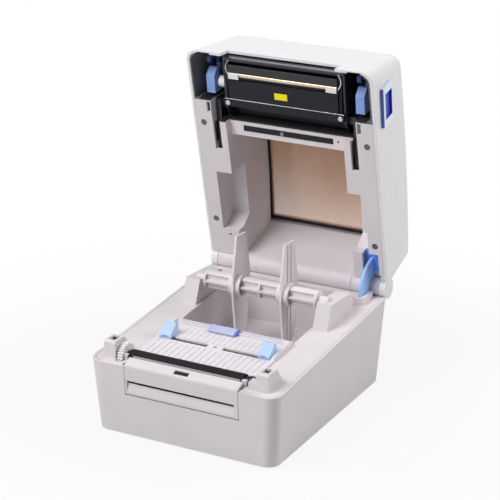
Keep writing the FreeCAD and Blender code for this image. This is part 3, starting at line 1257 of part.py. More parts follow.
    subpart("lid_liner", cut("liner_body", body, *both("barrel_bore_left", bore)), open_place)
    screws = []
    for i, place in enumerate(lid_screw_places()):
        head = rod(f"lid_head_{i}", "2.9", "Z", (rim(place[1], "0.2"), rim(place[1], "1.6")), place)
        shank = rod(f"lid_shank_{i}", "1.4", "Z", (rim(place[1], "1.5"), rim(place[1], "22")), place)
        screws.append(fuse(f"lid_screw_{i}", head, shank))
    subpart("lid_screws", screws, open_place)
    strip = box("sensor_strip", ("-48", "48"), ("beam_front + 4.2", "beam_front + 9.6"),
                (f"{beam_low} - 0.4", f"{beam_low} + 1.2"))
    subpart("sensor_cover", strip, open_place)
    lens = rod("sensor_bead", "2", "Z", (f"{beam_low} - 1.4", f"{beam_low} - 0.4"),
               ("-6", "beam_front + 6.9"))
    subpart("sensor_lens", lens, open_place)


def head_shroud():
    """Black box inside the lid's front, around the print head and latches."""
    outside, inside = "(lid_wall + fit_gap)", "(lid_wall + fit_gap + shroud_wall)"
    far, low = "base_width", "0"
    rear, end = "liner_front - 0.4", "beam_front - 0.3"
    side = "arm_inner + 6.5"
    room = fuse("shroud_room", box("shroud_front", (f"-{far}", far), ("-20", rear), (low, "shroud_top")),
                box("shroud_middle", (f"-({side})", side), ("-20", end), (low, "shroud_top")))
    block = common("shroud_block", lid_hull("shroud_outer", outside, outside, "0"), room)
    hollow = fuse("shroud_hollow", box("hollow_wide", (f"-{far}", far), ("-20", f"{rear} - shroud_wall"),
                                       (low, "shroud_top - shroud_wall")),
                  box("hollow_middle", (f"-({side}) - 1", f"{side} + 1"), ("-20", f"{end} - shroud_wall"),
                      (low, "shroud_top - shroud_wall")))
    cavity = common("shroud_cavity", lid_hull("shroud_inner", inside, inside, "4"), hollow)
    reach = "bump_inner + bump_width + 3"
    cuts = [cavity, box("shroud_notch", (f"-({reach})", reach), ("-20", "bump_front + 8"),
                        (low, "carrier_z + 6")),
            box("shroud_throat", (f"-{side}", side), (f"{end} - shroud_wall - 1", f"{end} + 1"),
                (low, rim("beam_front", "beam_recess")))]
    gate = box("shroud_gate", ("arm_inner - 1.5", f"{side} + 1"), (rear, f"{end} + 1"),
               (low, "pivot_height + 10"))
    slot = box("shroud_slot", ("bump_inner", "case_half + 8"),
               (f"{STEM_Y[0]} - 0.6", f"{STEM_Y[1]} + latch_travel + 0.6"),
               (f"{STEM_Z[0]} - 0.5", f"{STEM_Z[1]} + 0.5"))
    hook_room = box("shroud_hook_room", ("bump_middle - latch_blade", "bump_middle + latch_blade"),
                    ("-20", "bump_front + 8"),
                    (low, f"{STEM_Z[1]} + 1"))
    cuts += both("shroud_gate_left", gate) + both("shroud_slot_left", slot)
    cuts += both("shroud_hook_left", hook_room)
    subpart("head_shroud", cut("shroud_body", block, *cuts), open_place)


# Print head on its sprung carrier.

def head_carrier():
    half, wall = "carrier_half", "carrier_wall"
    top = "carrier_z + 2.4"
    plate = box("carrier_plate", (f"-{half}", half), ("platen_y - 6", "beam_front - 2.6"),
                ("carrier_z", top))
    side = prism("carrier_side", [("platen_y - 8.4", "head_z + 3"), ("platen_y - 8.4", "head_z + 9.4"),
                                  ("platen_y - 5", top),
                                  ("beam_front - 2.6", top), ("beam_front - 2.6", "head_z + 10.4"),
                                  ("beam_front - 14", "head_z + 3")],
                 "X", (f"{half} - {wall}", half))
    bar = rod("carrier_bar", "3.8", "X", (f"-{half} + 0.5", f"{half} - 0.5"),
              ("platen_y - 5.4", "head_z + 6.4"))
    web_back = "platen_y + head_width + 6.7"
    throat = box("carrier_throat", (f"-{half} + 0.5", f"{half} - 0.5"),
                 (f"{web_back} + 0.4", f"{web_back} + 1.9"),
                 ("head_z + 4", "carrier_z + 0.5"))
    outer = "arm_inner + arm_width"
    bridge = box("carrier_bridge", (f"{half} - 0.5", outer), ("liner_front + 1.5", "liner_front + 9"),
                 ("head_z + 8.4", "pivot_height + 6"))
    arm = box("carrier_arm", ("arm_inner", outer), ("liner_front + 1.5", "pivot_y + 5"),
              ("pivot_height - 6", "pivot_height + 6"))
    pin = rod("carrier_pin", "pivot_radius", "X", (f"{outer} - 0.5", f"{outer} + 4.2"),
              ("pivot_y", "pivot_height"))
    sides = [solid for source in (side, bridge, arm, pin) for solid in both(source.Name + "_left", source)]
    subpart("head_carrier", fuse("carrier_body", plate, bar, throat, *sides), open_place)
    coil = cut("coil_ring", rod("coil_outer", "pivot_radius + 1.8", "X",
                                (f"{outer} + 0.2", f"{outer} + 1.4"), ("pivot_y", "pivot_height")),
               rod("coil_bore", "pivot_radius + 0.3", "X", (outer, f"{outer} + 2"),
                   ("pivot_y", "pivot_height")))
    leg = box("coil_leg", (f"{outer} + 0.2", f"{outer} + 1.4"), ("pivot_y - 13", "pivot_y - 3.6"),
              ("pivot_height + 2.2", "pivot_height + 3.4"))
    subpart("head_springs", both("coil_left", fuse("coil_body", coil, leg)), open_place)


def print_head():
    half = "head_half"
    front, cover_back = "platen_y - 1.5", "platen_y - 1.5 + head_width"
    sink = box("sink_block", (f"-{half} - 2", f"{half} + 2"), (front, cover_back), ("sink_z", "carrier_z"))
    grooves = [box(f"sink_groove_{i}", (f"-{half} - 5", f"{half} + 5"),
                   (f"{front} + {3 + 8 * i}", f"{front} + {8 + 8 * i}"),
                   ("sink_z + 4", "carrier_z - 2.4")) for i in range(3)]
    subpart("heat_sink", cut("sink_body", sink, *grooves), open_place)
    subpart("head_substrate", box("substrate", (f"-{half}", half), (front, f"{front} + substrate_depth"),
                                  ("head_z", "sink_z")), open_place)
    cover = box("driver_cover", (f"-{half}", half), (f"{front} + substrate_depth + 3.5", cover_back),
                ("head_z + 0.1", "sink_z"))
    subpart("head_cover", cover, open_place)
    flange_z = "head_z + 0.4"
    flange = box("bracket_flange", (f"-{half} - 5.6", f"{half} + 5.6"),
                 (f"{cover_back} + 0.2", f"{cover_back} + 8.2"), (flange_z, f"{flange_z} + 2"))
    web = box("bracket_web", (f"-{half} - 2.5", f"{half} + 2.5"),
              (f"{cover_back} + 6.8", f"{cover_back} + 8.2"), (flange_z, "carrier_z - 0.1"))
    cheek = prism("bracket_cheek", [("platen_y - 6.5", "head_z + 3.4"), ("platen_y - 6.5", "carrier_z - 6"),
                                    ("platen_y - 2", "carrier_z - 0.1"),
                                    (f"{cover_back} + 1.2", "carrier_z - 0.1"),
                                    (f"{cover_back} + 1.2", flange_z), (cover_back, flange_z),
                                    ("platen_y + 14", "head_z + 1.8")], "X",
                                    (f"{half} + 2.3", f"{half} + 3.7"))
    room = rod("bracket_room", "4.6", "X", ("-base_width", "base_width"),
               ("platen_y - 5.4", "head_z + 6.4"))
    places = corners_of(f"{half} + 2", f"{cover_back} + 4.6", f"{cover_back} + 4.6")[::2]
    holes = [rod(f"bracket_hole_{i}", "1.32", "Z", ("head_z - 5", "head_z + 8"), place)
             for i, place in enumerate(places)]
    bracket = cut("bracket_body", fuse("bracket_pieces", flange, web, *both("bracket_cheek_left", cheek)),
                  room, *holes)
    subpart("head_bracket", bracket, open_place)
    screws = []
    for i, place in enumerate(places):
        head = rod(f"head_screw_head_{i}", "2.4", "Z", (f"{flange_z} - 1.2", flange_z), place)
        shank = rod(f"head_screw_shank_{i}", "1.3", "Z", (f"{flange_z} - 0.1", f"{flange_z} + 5"), place)
        screws.append(fuse(f"head_screw_{i}", head, shank))
    subpart("head_screws", screws, open_place)
    block = box("end_block", (f"{half} - 11.5", f"{half} - 0.5"),
                (f"{front} + substrate_depth - 3.6", f"{front} + substrate_depth + 2"),
                ("head_z - 1", "head_z"))
    disc = rod("end_disc", "5.5", "X", ("-carrier_half - 7", "-carrier_half"),
               ("platen_y + 20.5", "head_z + 9.4"))
    subpart("head_ends", [*both("end_block_left", block), disc], open_place)


# Lid latches, stay and feed button.

def latches():
    blade_x = ("bump_middle - latch_blade/2", "bump_middle + latch_blade/2")
    front = f"{latch_hole_front()} + 1"
    hook = prism("latch_hook", [(front, STEM_Z[1]), (front, "bump_top - 6"),
                                (f"{front} + 4.5", "bump_top - 7"),
                                (f"{front} + 7", "bump_top - 4.6"), (f"{front} + 7", "bump_top - 2.9"),
                                (f"{front} + 4.5", "bump_top - 2.6"), (f"{front} + 4.5", STEM_Z[0]),
                                (STEM_Y[1], STEM_Z[0]), (STEM_Y[1], STEM_Z[1])], "X", blade_x)
    slope = "bump_front + bump_length"
    lever = prism("latch_lever", [(f"{slope} + 2.5", "bump_top + 4"), (f"{slope} + 2.5", "bump_top + 1"),
                                  (f"{slope} + 9", "bump_top - 6"), (STEM_Y[1], "bump_top - 6"),
                                  (STEM_Y[1], f"{STEM_Z[0]} + 1"), (STEM_Y[0], f"{STEM_Z[0]} + 1"),
                                  (f"{slope} + 11", "bump_top + 4.5")], "X",
                                  ("bump_middle - 4.5", "bump_middle + 4.5"))
    middle = "button_front + button_length/2"
    low, high = "button_bottom", "button_bottom + button_height"
    faces = [(side_x(middle, low), low), (side_x(middle, high), high)]
    stem = box("latch_stem", (f"{blade_x[1]} - 0.5", f"{faces[1][0]} + 2"), STEM_Y, STEM_Z)
    plate = prism("latch_plate", [(f"{faces[0][0]} + 0.3", low),
                                  (f"{faces[0][0]} + 0.3 + button_proud", low),
                                  (f"{faces[1][0]} + 0.3 + button_proud", high),
                                  (f"{faces[1][0]} + 0.3", high)], "Y",
                  ("button_front", "button_front + button_length"))
    dish_low, dish_high = f"{low} + 8", f"{high} - 3"
    dish = prism("latch_dish", [(f"{side_x(middle, dish_low)} + 1.3", dish_low),
                                ("case_half + 10", f"{dish_low} - 3"),
                                ("case_half + 10", f"{dish_high} + 1"),
                                (f"{side_x(middle, dish_high)} + 1.3", dish_high)], "Y",
                 ("button_front + 7", "button_front + button_length - 7"))
    right = fuse("latch_right_body", hook, lever, stem, cut("latch_button", plate, dish))
    subpart("latch_right", right, open_place)
    subpart("latch_left", mirror("latch_left_body", right), open_place)


def stay_plate():
    """Room of the stay's plate in the closed lid: across, along and up."""
    return (("stay_inner - 5.5", "stay_inner + stay_thickness + 8.7"),
            ("hinge_y - stay_radius - 8.2", "well_back - 0.4"),
            ("stay_block_top + 1.2", "stay_block_top + 3.2"))


def lid_stay():
    span = ("stay_inner", "stay_inner + stay_thickness")
    axis = ("hinge_y", "hinge_z")
    ring = cut("stay_ring", rod("stay_outer", "stay_radius", "X", span, axis),
               rod("stay_hole", "barrel_radius + 1", "X",
                   ("stay_inner - 1", "stay_inner + stay_thickness + 1"), axis))
    plate_x, plate_y, plate_z = stay_plate()
    keep = box("stay_keep", span, ("hinge_y - stay_radius - 5", "hinge_y - 1"),
               ("hinge_z - stay_radius - 5", plate_z[1]))
    plate = box("stay_bracket", plate_x, plate_y, plate_z)
    subpart("lid_stay", fuse("stay_body", common("stay_sector", ring, keep), plate), open_place)


def feed_button():
    top = lid_surface("feed_y")
    place = ("feed_place", "feed_y")
    cap = fuse("feed_body", rod("feed_cap", "feed_radius", "Z", (f"{top} - 5", f"{top} + 1.4"), place),
               rod("feed_collar", "feed_radius + 1.6", "Z", (f"{top} - 5.4", f"{top} - 4.2"), place),
               rod("feed_stem", "2", "Z", (f"{top} - 11.4", f"{top} - 5"), place))
    subpart("feed_button", cap, open_place)
    lens_place = ("feed_place", "feed_y + 18")
    lens_top = lid_surface("feed_y + 18")
    subpart("status_lens", rod("lens_rod", "2.2", "Z", (f"{lens_top} - 8", f"{lens_top} + 0.4"),
                               lens_place), open_place)
    sheet = box("panel_sheet", ("feed_place - 16", "feed_place + 12"), ("feed_y - 13", "feed_y + 28"),
                (f"{top} - 17.6", f"{top} - 16"))
    switch = box("panel_switch", ("feed_place - 3", "feed_place + 3"), ("feed_y - 3", "feed_y + 3"),
                 (f"{top} - 16.1", f"{top} - 12.5"))
    lamp = rod("panel_lamp", "2", "Z", (f"{top} - 16.1", f"{top} - 11"), lens_place)
    subpart("panel_board", fuse("panel_board_body", sheet, switch, lamp), open_place)


lower_case()
inner_deck()
front_panel()
label_bed()
platen()
gear_train()
electronics()
spindle()
lid_cover()
lid_window()
lid_liner()
head_shroud()
head_carrier()
print_head()
latches()
lid_stay()
feed_button()
doc.recompute()

faulty = [item.Name for item in doc.Objects if "Invalid" in item.State or "Error" in item.State]
if faulty:
    raise RuntimeError("Objects that failed to build: " + ", ".join(faulty))
os.makedirs("parts", exist_ok=True)
for piece in subparts:
    if piece.Shape.isNull() or not piece.Shape.isValid():
        raise RuntimeError(piece.Label + " has no valid shape")
    piece.Shape.exportStep(f"parts/{piece.Label}.step")
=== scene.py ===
"""Looks of a thermal label printer with its lid up: finishes, small details, light and camera."""
import json
import math

import bmesh
import bpy
from mathutils import Matrix, Vector

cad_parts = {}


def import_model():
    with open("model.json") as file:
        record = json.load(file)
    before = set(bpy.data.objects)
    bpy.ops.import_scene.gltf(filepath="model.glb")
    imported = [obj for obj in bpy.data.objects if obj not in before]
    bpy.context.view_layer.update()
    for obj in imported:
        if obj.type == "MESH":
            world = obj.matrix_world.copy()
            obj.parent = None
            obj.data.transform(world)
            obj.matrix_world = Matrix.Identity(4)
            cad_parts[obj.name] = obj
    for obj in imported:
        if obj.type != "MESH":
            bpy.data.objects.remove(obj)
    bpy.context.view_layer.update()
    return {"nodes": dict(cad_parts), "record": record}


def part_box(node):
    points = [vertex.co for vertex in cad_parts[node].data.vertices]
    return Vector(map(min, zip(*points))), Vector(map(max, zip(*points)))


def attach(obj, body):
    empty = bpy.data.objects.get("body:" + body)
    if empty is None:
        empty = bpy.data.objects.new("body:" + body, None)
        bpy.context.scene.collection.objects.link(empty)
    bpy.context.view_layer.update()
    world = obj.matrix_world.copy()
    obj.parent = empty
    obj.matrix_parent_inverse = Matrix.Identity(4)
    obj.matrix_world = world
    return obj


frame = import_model()
nodes = frame["nodes"]
joints = {joint["name"]: joint for joint in frame["record"]["behaviour"]["joints"]}
MM = 0.001

# The case's own frame has its origin at the front of the case; the lid's pieces are drawn shut there.
HINGE = Vector(joints["lid_hinge"]["pos_m"])
LID_OPEN = math.radians(joints["lid_hinge"]["range_deg"][1])
CASE_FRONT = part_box("lower_case")[0][1]
IN_CASE = Matrix.Translation((0, CASE_FRONT, 0))
IN_LID = (Matrix.Translation(HINGE) @ Matrix.Rotation(-LID_OPEN, 4, "X") @ Matrix.Translation(-HINGE)
          @ IN_CASE)

# Camera
CAMERA_TARGET = Vector((0.00685, -0.03108, 0.15837))
CAMERA_AZIMUTH = math.radians(28.42)
CAMERA_ELEVATION = math.radians(20.22)
CAMERA_DISTANCE = 1.73784
CAMERA_LENS = 134.05
CAMERA_SENSOR = 36
CAMERA_REACH = 20

# Studio
LIT_POINT = Vector((0, 0, 0.15))
LAMP_DISTANCE = 2.2
LAMPS = {
    "front_left_box": {"towards": (-0.35, -0.55, 0.76), "strength": 0.68, "size": 1.1},
    "right_box": {"towards": (0.72, 0.42, 0.55), "strength": 0.58, "size": 1.2},
    "front_fill": {"towards": (-0.34, -0.94, 0.5), "strength": 0.2, "size": 1.4},
    "top_box": {"towards": (0, -0.1, 1), "strength": 0.15, "size": 1.6},
}
WHITE = (1, 1, 1, 1)
WORLD_LIGHT = 0.05
FLOOR_SIZE = 12
FLOOR_COLOUR = (0.58, 0.58, 0.58)
FLOOR_ROUGHNESS = 0.9
SHADOW_FADE = 0.89
SHADOW_REACH = (0.2, 0.5)

# Rounding that an edge shows, in metres
EDGE = 0.0004
THIN_EDGE = 0.0001
EDGE_SAMPLES = 6

# Plastic, metal and clear sheet: noise per metre, and how far tone and roughness swing with it
MOTTLE_SCALE = 38
SHEEN_SCALE = 160
SHEEN_SWING = 0.06
PLASTIC_RELIEF = 0.35
METAL_TONES = (0.86, 1.08)
METAL_SHEEN = (-0.08, 0.1)
METAL_RELIEF = 0.3
BRUSHED = (0.05, 1, 1)
SHEET_SCALE = 60
SHEET_TONES = (0.94, 1.05)
SHEET_SHEEN_SCALE = 90
SHEET_SHEEN = 0.05
LENS_IOR = 1.2

# Sockets of a colour Mix node
MIX_FACTOR, MIX_UNDER, MIX_OVER, MIX_RESULT = 0, 6, 7, 2


# Material helpers
def material(name):
    made = bpy.data.materials.new(name)
    made.use_nodes = True
    return made, made.node_tree, made.node_tree.nodes["Principled BSDF"]


def add(tree, kind, values=None, **settings):
    made = tree.nodes.new(kind)
    for key, value in settings.items():
        setattr(made, key, value)
    for key, value in (values or {}).items():
        made.inputs[key].default_value = value
    return made


def grain(tree, scale, detail=3.0, stretch=(1, 1, 1)):
    """Noise over the object's own metres, stretched along its axes."""
    place = add(tree, "ShaderNodeTexCoord")
    mapping = add(tree, "ShaderNodeMapping", {"Scale": stretch})
    noise = add(tree, "ShaderNodeTexNoise", {"Scale": scale, "Detail": detail})
    tree.links.new(place.outputs["Object"], mapping.inputs["Vector"])
    tree.links.new(mapping.outputs["Vector"], noise.inputs["Vector"])
    return noise.outputs["Fac"]


def ramp(tree, source, low, high, start=0.3, end=0.7):
    made = add(tree, "ShaderNodeValToRGB")
    made.color_ramp.elements[0].position = start
    made.color_ramp.elements[0].color = (*low, 1)
    made.color_ramp.elements[1].position = end
    made.color_ramp.elements[1].color = (*high, 1)
    tree.links.new(source, made.inputs["Fac"])
    return made.outputs["Color"]


def span(tree, source, low, high):
    made = add(tree, "ShaderNodeMapRange", {"To Min": low, "To Max": high})
    tree.links.new(source, made.inputs["Value"])
    return made.outputs["Result"]


def bump(tree, shader, source, strength, depth, edge=EDGE):
    """Fine relief over edges that are a little rounded."""
    made = add(tree, "ShaderNodeBump", {"Strength": strength, "Distance": depth})
    rounded = add(tree, "ShaderNodeBevel", {"Radius": edge}, samples=EDGE_SAMPLES)
    tree.links.new(rounded.outputs["Normal"], made.inputs["Normal"])
    tree.links.new(source, made.inputs["Height"])
    tree.links.new(made.outputs["Normal"], shader.inputs["Normal"])


def shade(colour, factor):
    return tuple(min(1.0, channel * factor) for channel in colour)


def case_axes(tree, place):
    """Millimetres across, along and up from the front of the case, with the lid shut."""
    back = place.inverted()
    source = add(tree, "ShaderNodeTexCoord")
    mapping = add(tree, "ShaderNodeMapping", {"Location": back.translation / MM,
                                              "Rotation": back.to_euler(), "Scale": (1 / MM,) * 3})
    axes = add(tree, "ShaderNodeSeparateXYZ")
    tree.links.new(source.outputs["Object"], mapping.inputs["Vector"])
    tree.links.new(mapping.outputs["Vector"], axes.inputs["Vector"])
    return [axes.outputs[i] for i in range(3)]


def reckon(tree, operation, *values):
    """A sum on outputs of nodes and plain numbers."""
    made = add(tree, "ShaderNodeMath", operation=operation)
    for i, value in enumerate(values):
        if isinstance(value, (int, float)):
            made.inputs[i].default_value = value
        else:
            tree.links.new(value, made.inputs[i])
    return made.outputs[0]


def within(tree, value, low, high):
    """One where a value lies between two limits, and nothing elsewhere."""
    return reckon(tree, "COMPARE", value, (low + high) / 2, (high - low) / 2)


def overlay(tree, under, mask, colour):
    made = add(tree, "ShaderNodeMix", {MIX_OVER: (*colour, 1)}, data_type="RGBA")
    tree.links.new(mask, made.inputs[MIX_FACTOR])
    tree.links.new(under, made.inputs[MIX_UNDER])
    return made.outputs[MIX_RESULT]


def moulded(name, colour, rough, spread, texture=2600, depth=0.00006, gloss=0.25, edge=EDGE, areas=()):
    """Injection-moulded plastic: spark-eroded grain, slight mottling, and areas of another colour."""
    made, tree, shader = material(name)
    tint = ramp(tree, grain(tree, MOTTLE_SCALE, 4), shade(colour, 1 - spread), shade(colour, 1 + spread))
    for mask, other in areas:
        tint = overlay(tree, tint, mask(tree), other)
    sheen = span(tree, grain(tree, SHEEN_SCALE, 2), rough - SHEEN_SWING, rough + SHEEN_SWING)
    tree.links.new(tint, shader.inputs["Base Color"])
    tree.links.new(sheen, shader.inputs["Roughness"])
    shader.inputs["Specular IOR Level"].default_value = gloss
    bump(tree, shader, grain(tree, texture, 2), PLASTIC_RELIEF, depth, edge)
    return made


def metal(name, colour, rough=0.3, stretch=(1, 1, 1), texture=900, depth=0.00003):
    """Metal with fine lines of machining or brushing along the axis that is stretched least."""
    made, tree, shader = material(name)
    lines = grain(tree, texture, 3, stretch)
    dark, light = (shade(colour, tone) for tone in METAL_TONES)
    smooth, coarse = (rough + swing for swing in METAL_SHEEN)
    tree.links.new(ramp(tree, lines, dark, light), shader.inputs["Base Color"])
    tree.links.new(span(tree, lines, smooth, coarse), shader.inputs["Roughness"])
    shader.inputs["Metallic"].default_value = 1.0
    bump(tree, shader, lines, METAL_RELIEF, depth)
    return made


def sheet(name, colour, rough):
    """Smooth plastic that lets light through in a way set by the caller."""
    made, tree, shader = material(name)
    dark, light = (shade(colour, tone) for tone in SHEET_TONES)
    sheen = span(tree, grain(tree, SHEET_SHEEN_SCALE, 2), rough, rough + SHEET_SHEEN)
    tree.links.new(ramp(tree, grain(tree, SHEET_SCALE, 2), dark, light), shader.inputs["Base Color"])
    tree.links.new(sheen, shader.inputs["Roughness"])
    return made, tree, shader


def clear(name, colour, rough, transmission):
    made, _, shader = sheet(name, colour, rough)
    shader.inputs["Transmission Weight"].default_value = transmission
    shader.inputs["IOR"].default_value = LENS_IOR
    return made


def window_with_painted_reflection(name, colour, rough, thin, dense):
    """Tinted window in the lid that is more see-through towards the rear of the shut lid: the lighter rear
    part is a painted reflection on an even pane.
    """
    made, tree, shader = sheet(name, colour, rough)
    along = case_axes(tree, IN_LID)[1]
    tint = add(tree, "ShaderNodeMapRange", {"From Min": WINDOW_REAR, "From Max": WINDOW_FRONT,
                                            "To Min": thin, "To Max": dense})
    tree.links.new(along, tint.inputs["Value"])
    tree.links.new(tint.outputs["Result"], shader.inputs["Alpha"])
    return made


# Areas of another colour, print and painted light and shade among them: millimetres across, along and up
# in the shut lid or on the case
LATCH_FRAME = 92
LATCH_REACH = 110
LATCH_LEVER = 26.5
BUTTON_BOTTOM = (92, 93.1)
SCOOP_ALONG = (34.2, 59.8)
SCOOP_UP = (97.5, 115.5)
PAINTED_LIGHT_WALL_START = 89
STAY_PLATE = (96.15, 99)
SLIDER_END = (5.8, 9)
DIVISION_PITCH = 6
DIVISION_WIDTH = 0.5
SCALE_HALF = 45.5
BASE_LINE = 80
WINDOW_REAR = 214
WINDOW_FRONT = 112


def beyond(tree, across, start):
    """Both outer sides, from a distance off the middle."""
    return within(tree, reckon(tree, "ABSOLUTE", across), start, LATCH_REACH)


def latch_frame(tree):
    return beyond(tree, case_axes(tree, IN_LID)[0], LATCH_FRAME)


# Painted shade: a darker blue on the face at the bottom of the latch button.
def painted_shade_button_face(tree):
    across, _, up = case_axes(tree, IN_LID)
    return reckon(tree, "MULTIPLY", beyond(tree, across, LATCH_FRAME), within(tree, up, *BUTTON_BOTTOM))


# Painted shade: a deep blue inside the latch's scoop, where shade falls in the hollow.
def painted_shade_scoop(tree):
    across, along, up = case_axes(tree, IN_LID)
    room = reckon(tree, "MULTIPLY", within(tree, along, *SCOOP_ALONG), within(tree, up, *SCOOP_UP))
    return reckon(tree, "MULTIPLY", beyond(tree, across, LATCH_FRAME), room)


# Painted shade: a dark navy over the hook end of the latch, where it lies in shadow.
def painted_shade_hook(tree):
    return within(tree, case_axes(tree, IN_LID)[1], 0, LATCH_LEVER)


# A lighter grey on the shroud's outer side walls: partly the wall's own grey, partly painted light where
# light falls on it.
def painted_light_wall(tree):
    return beyond(tree, case_axes(tree, IN_LID)[0], PAINTED_LIGHT_WALL_START)


def stay_plate(tree):
    return within(tree, case_axes(tree, IN_LID)[2], *STAY_PLATE)


def slider_end(tree):
    return within(tree, case_axes(tree, IN_CASE)[0], *SLIDER_END)


def base_line(tree):
    """A thin printed line along the scale."""
    across, along, _ = case_axes(tree, IN_CASE)
    line = within(tree, along, BASE_LINE - DIVISION_WIDTH / 2, BASE_LINE + DIVISION_WIDTH / 2)
    return reckon(tree, "MULTIPLY", line, within(tree, across, -SCALE_HALF, SCALE_HALF))


def divisions(tree):
    """Thin printed lines across the scale, one every few millimetres."""
    across = case_axes(tree, IN_CASE)[0]
    steps = reckon(tree, "FRACT", reckon(tree, "DIVIDE", across, DIVISION_PITCH))
    line = within(tree, steps, 0, DIVISION_WIDTH / DIVISION_PITCH)
    return reckon(tree, "MULTIPLY", line, within(tree, across, -SCALE_HALF, SCALE_HALF))


CASE = moulded("case_grey", (0.74, 0.70, 0.716), rough=0.46, spread=0.02)
LID = moulded("lid_white", (0.84, 0.82, 0.84), rough=0.42, spread=0.015)
DECK = moulded("deck_grey", (0.75, 0.705, 0.73), rough=0.5, spread=0.02)
BLACK = moulded("satin_black", (0.010, 0.0085, 0.014), rough=0.34, spread=0.1)
BAR = moulded("bar_black", (0.018, 0.017, 0.028), rough=0.26, spread=0.1, gloss=0.5)
# The lighter grey on the shroud's side walls is partly painted light.
SHROUD = moulded("charcoal", (0.018, 0.017, 0.019), rough=0.5, spread=0.1,
                 areas=[(painted_light_wall, (0.16, 0.16, 0.165))])
RUBBER = moulded("black_rubber", (0.012, 0.010, 0.013), rough=0.62, spread=0.2, texture=4200,
                 depth=0.0001, gloss=0.12)
BED = moulded("bed_white", (0.78, 0.75, 0.79), rough=0.4, spread=0.02, edge=THIN_EDGE)
SCALE = moulded("scale_white", (0.78, 0.76, 0.80), rough=0.35, spread=0.02, edge=THIN_EDGE,
                areas=[(base_line, (0.60, 0.53, 0.55)), (divisions, (0.40, 0.36, 0.38))])
GEAR = moulded("gear_white", (0.84, 0.83, 0.81), rough=0.4, spread=0.02, edge=THIN_EDGE)
PALE_BLUE = moulded("pale_blue", (0.48, 0.66, 0.95), rough=0.32, spread=0.03)
# The dark blues on the latch's hook end, button face and scoop are painted shade.
LATCH = moulded("latch_blue", (0.26, 0.40, 0.80), rough=0.34, spread=0.04,
                areas=[(painted_shade_hook, (0.05, 0.075, 0.27)), (latch_frame, (0.80, 0.92, 1.0)),
                       (painted_shade_button_face, (0.10, 0.18, 0.62)), (painted_shade_scoop, (0.03, 0.05, 0.46))])
STAY = moulded("stay_blue", (0.34, 0.58, 1.0), rough=0.34, spread=0.03,
               areas=[(stay_plate, (0.14, 0.30, 0.95))])
SLIDER = moulded("lavender", (0.52, 0.55, 0.80), rough=0.4, spread=0.04,
                 areas=[(slider_end, (0.14, 0.20, 0.66))])
TAB = moulded("tab_grey", (0.85, 0.795, 0.79), rough=0.48, spread=0.03)
SPINDLE = moulded("spindle_grey", (0.80, 0.76, 0.76), rough=0.46, spread=0.02, edge=THIN_EDGE)
BUTTON = moulded("button_grey", (0.4, 0.41, 0.43), rough=0.45, spread=0.05)
STEEL = metal("brushed_steel", (0.55, 0.56, 0.57), stretch=BRUSHED)
ALUMINIUM = metal("black_anodised", (0.02, 0.02, 0.024), stretch=BRUSHED)
BRASS = metal("brass", (0.6, 0.45, 0.2))
TEAR = moulded("tear_grey", (0.36, 0.345, 0.36), rough=0.4, spread=0.06)
# Painted shade: the lid screws are a darker metal, standing in for the shade in their sunk holes.
SCREW_PAINTED_SHADE = metal("screw_grey_painted_shade", (0.14, 0.14, 0.15), stretch=BRUSHED)
CERAMIC = moulded("glossy_black", (0.012, 0.012, 0.016), rough=0.16, spread=0.1, gloss=0.5)
GLAZE = metal("head_glaze", (0.62, 0.50, 0.37), rough=0.16, stretch=(0.02, 1, 1))
YELLOW = moulded("yellow_film", (0.96, 0.80, 0.01), rough=0.4, spread=0.03)
# The window's see-through gradient is a painted reflection.
AMBER = window_with_painted_reflection("amber_window", (0.69, 0.355, 0.165), rough=0.06, thin=0.45, dense=0.88)
LENS = clear("clear_lens", (0.75, 0.78, 0.8), rough=0.04, transmission=0.7)
BOARD = moulded("solder_mask", (0.02, 0.14, 0.07), rough=0.3, spread=0.15, texture=900)

FINISH = {
    CASE: ["lower_case", "front_panel"],
    LID: ["lid_cover", "head_ends"],
    DECK: ["inner_deck", "lid_liner"],
    SHROUD: ["head_shroud"],
    BLACK: ["window_gasket", "sensor_cover", "head_cover", "head_bracket", "stepper_motor",
            "dc_inlet", "switch_body", "switch_rocker", "platen_bushes", "panel_sensor"],
    BAR: ["head_carrier"],
    RUBBER: ["rubber_feet", "platen_rubber"],
    BED: ["label_bed"],
    SCALE: ["label_scale"],
    GEAR: ["platen_gear", "idler_gear", "guide_pinion"],
    PALE_BLUE: ["guide_left", "guide_right"],
    LATCH: ["latch_left", "latch_right"],
    STAY: ["lid_stay"],
    SLIDER: ["sensor_slider"],
    TAB: ["roll_tab_left", "roll_tab_right"],
    SPINDLE: ["roll_spindle"],
    BUTTON: ["feed_button"],
    STEEL: ["base_screws", "hinge_pins", "pinion_stud", "drive_plate", "drive_screws", "board_screws",
            "usb_port", "head_screws", "head_springs", "platen_shaft"],
    TEAR: ["tear_bar"],
    SCREW_PAINTED_SHADE: ["lid_screws"],
    ALUMINIUM: ["heat_sink"],
    BRASS: ["motor_pinion"],
    CERAMIC: ["head_substrate"],
    AMBER: ["lid_window"],
    LENS: ["sensor_lens", "status_lens"],
    BOARD: ["main_board", "panel_board", "board_parts"],
}


def finish_nodes():
    for finish, names in FINISH.items():
        for name in names:
            mesh = nodes[name].data
            mesh.materials.clear()
            mesh.materials.append(finish)


# Thin trims on the print head, in millimetres in the case's own frame with the lid shut
GLAZE_STRIP = {"width": 3.6, "height": 0.35, "slope": 0.9, "inset": 0.5, "setback": 0.4}
FILM = {"across": (-9, 4.8), "along": (7.2, 13.8), "thick": 0.12}
# The bracket lip is a painted highlight: a bright steel strip on the black bracket's edge.
HIGHLIGHT_LIP = {"width": 0.6, "thick": 0.15, "drop": 0.4, "beyond": 5.6, "gap": 0.3}
CLIP = {"front": -3.6, "rear": 11.2, "rise_front": 2.9, "rise_rear": 1.1, "bow": 3.2, "radius": 0.55}
CLIP_STEPS = 14
WIRE_SIDES = 8


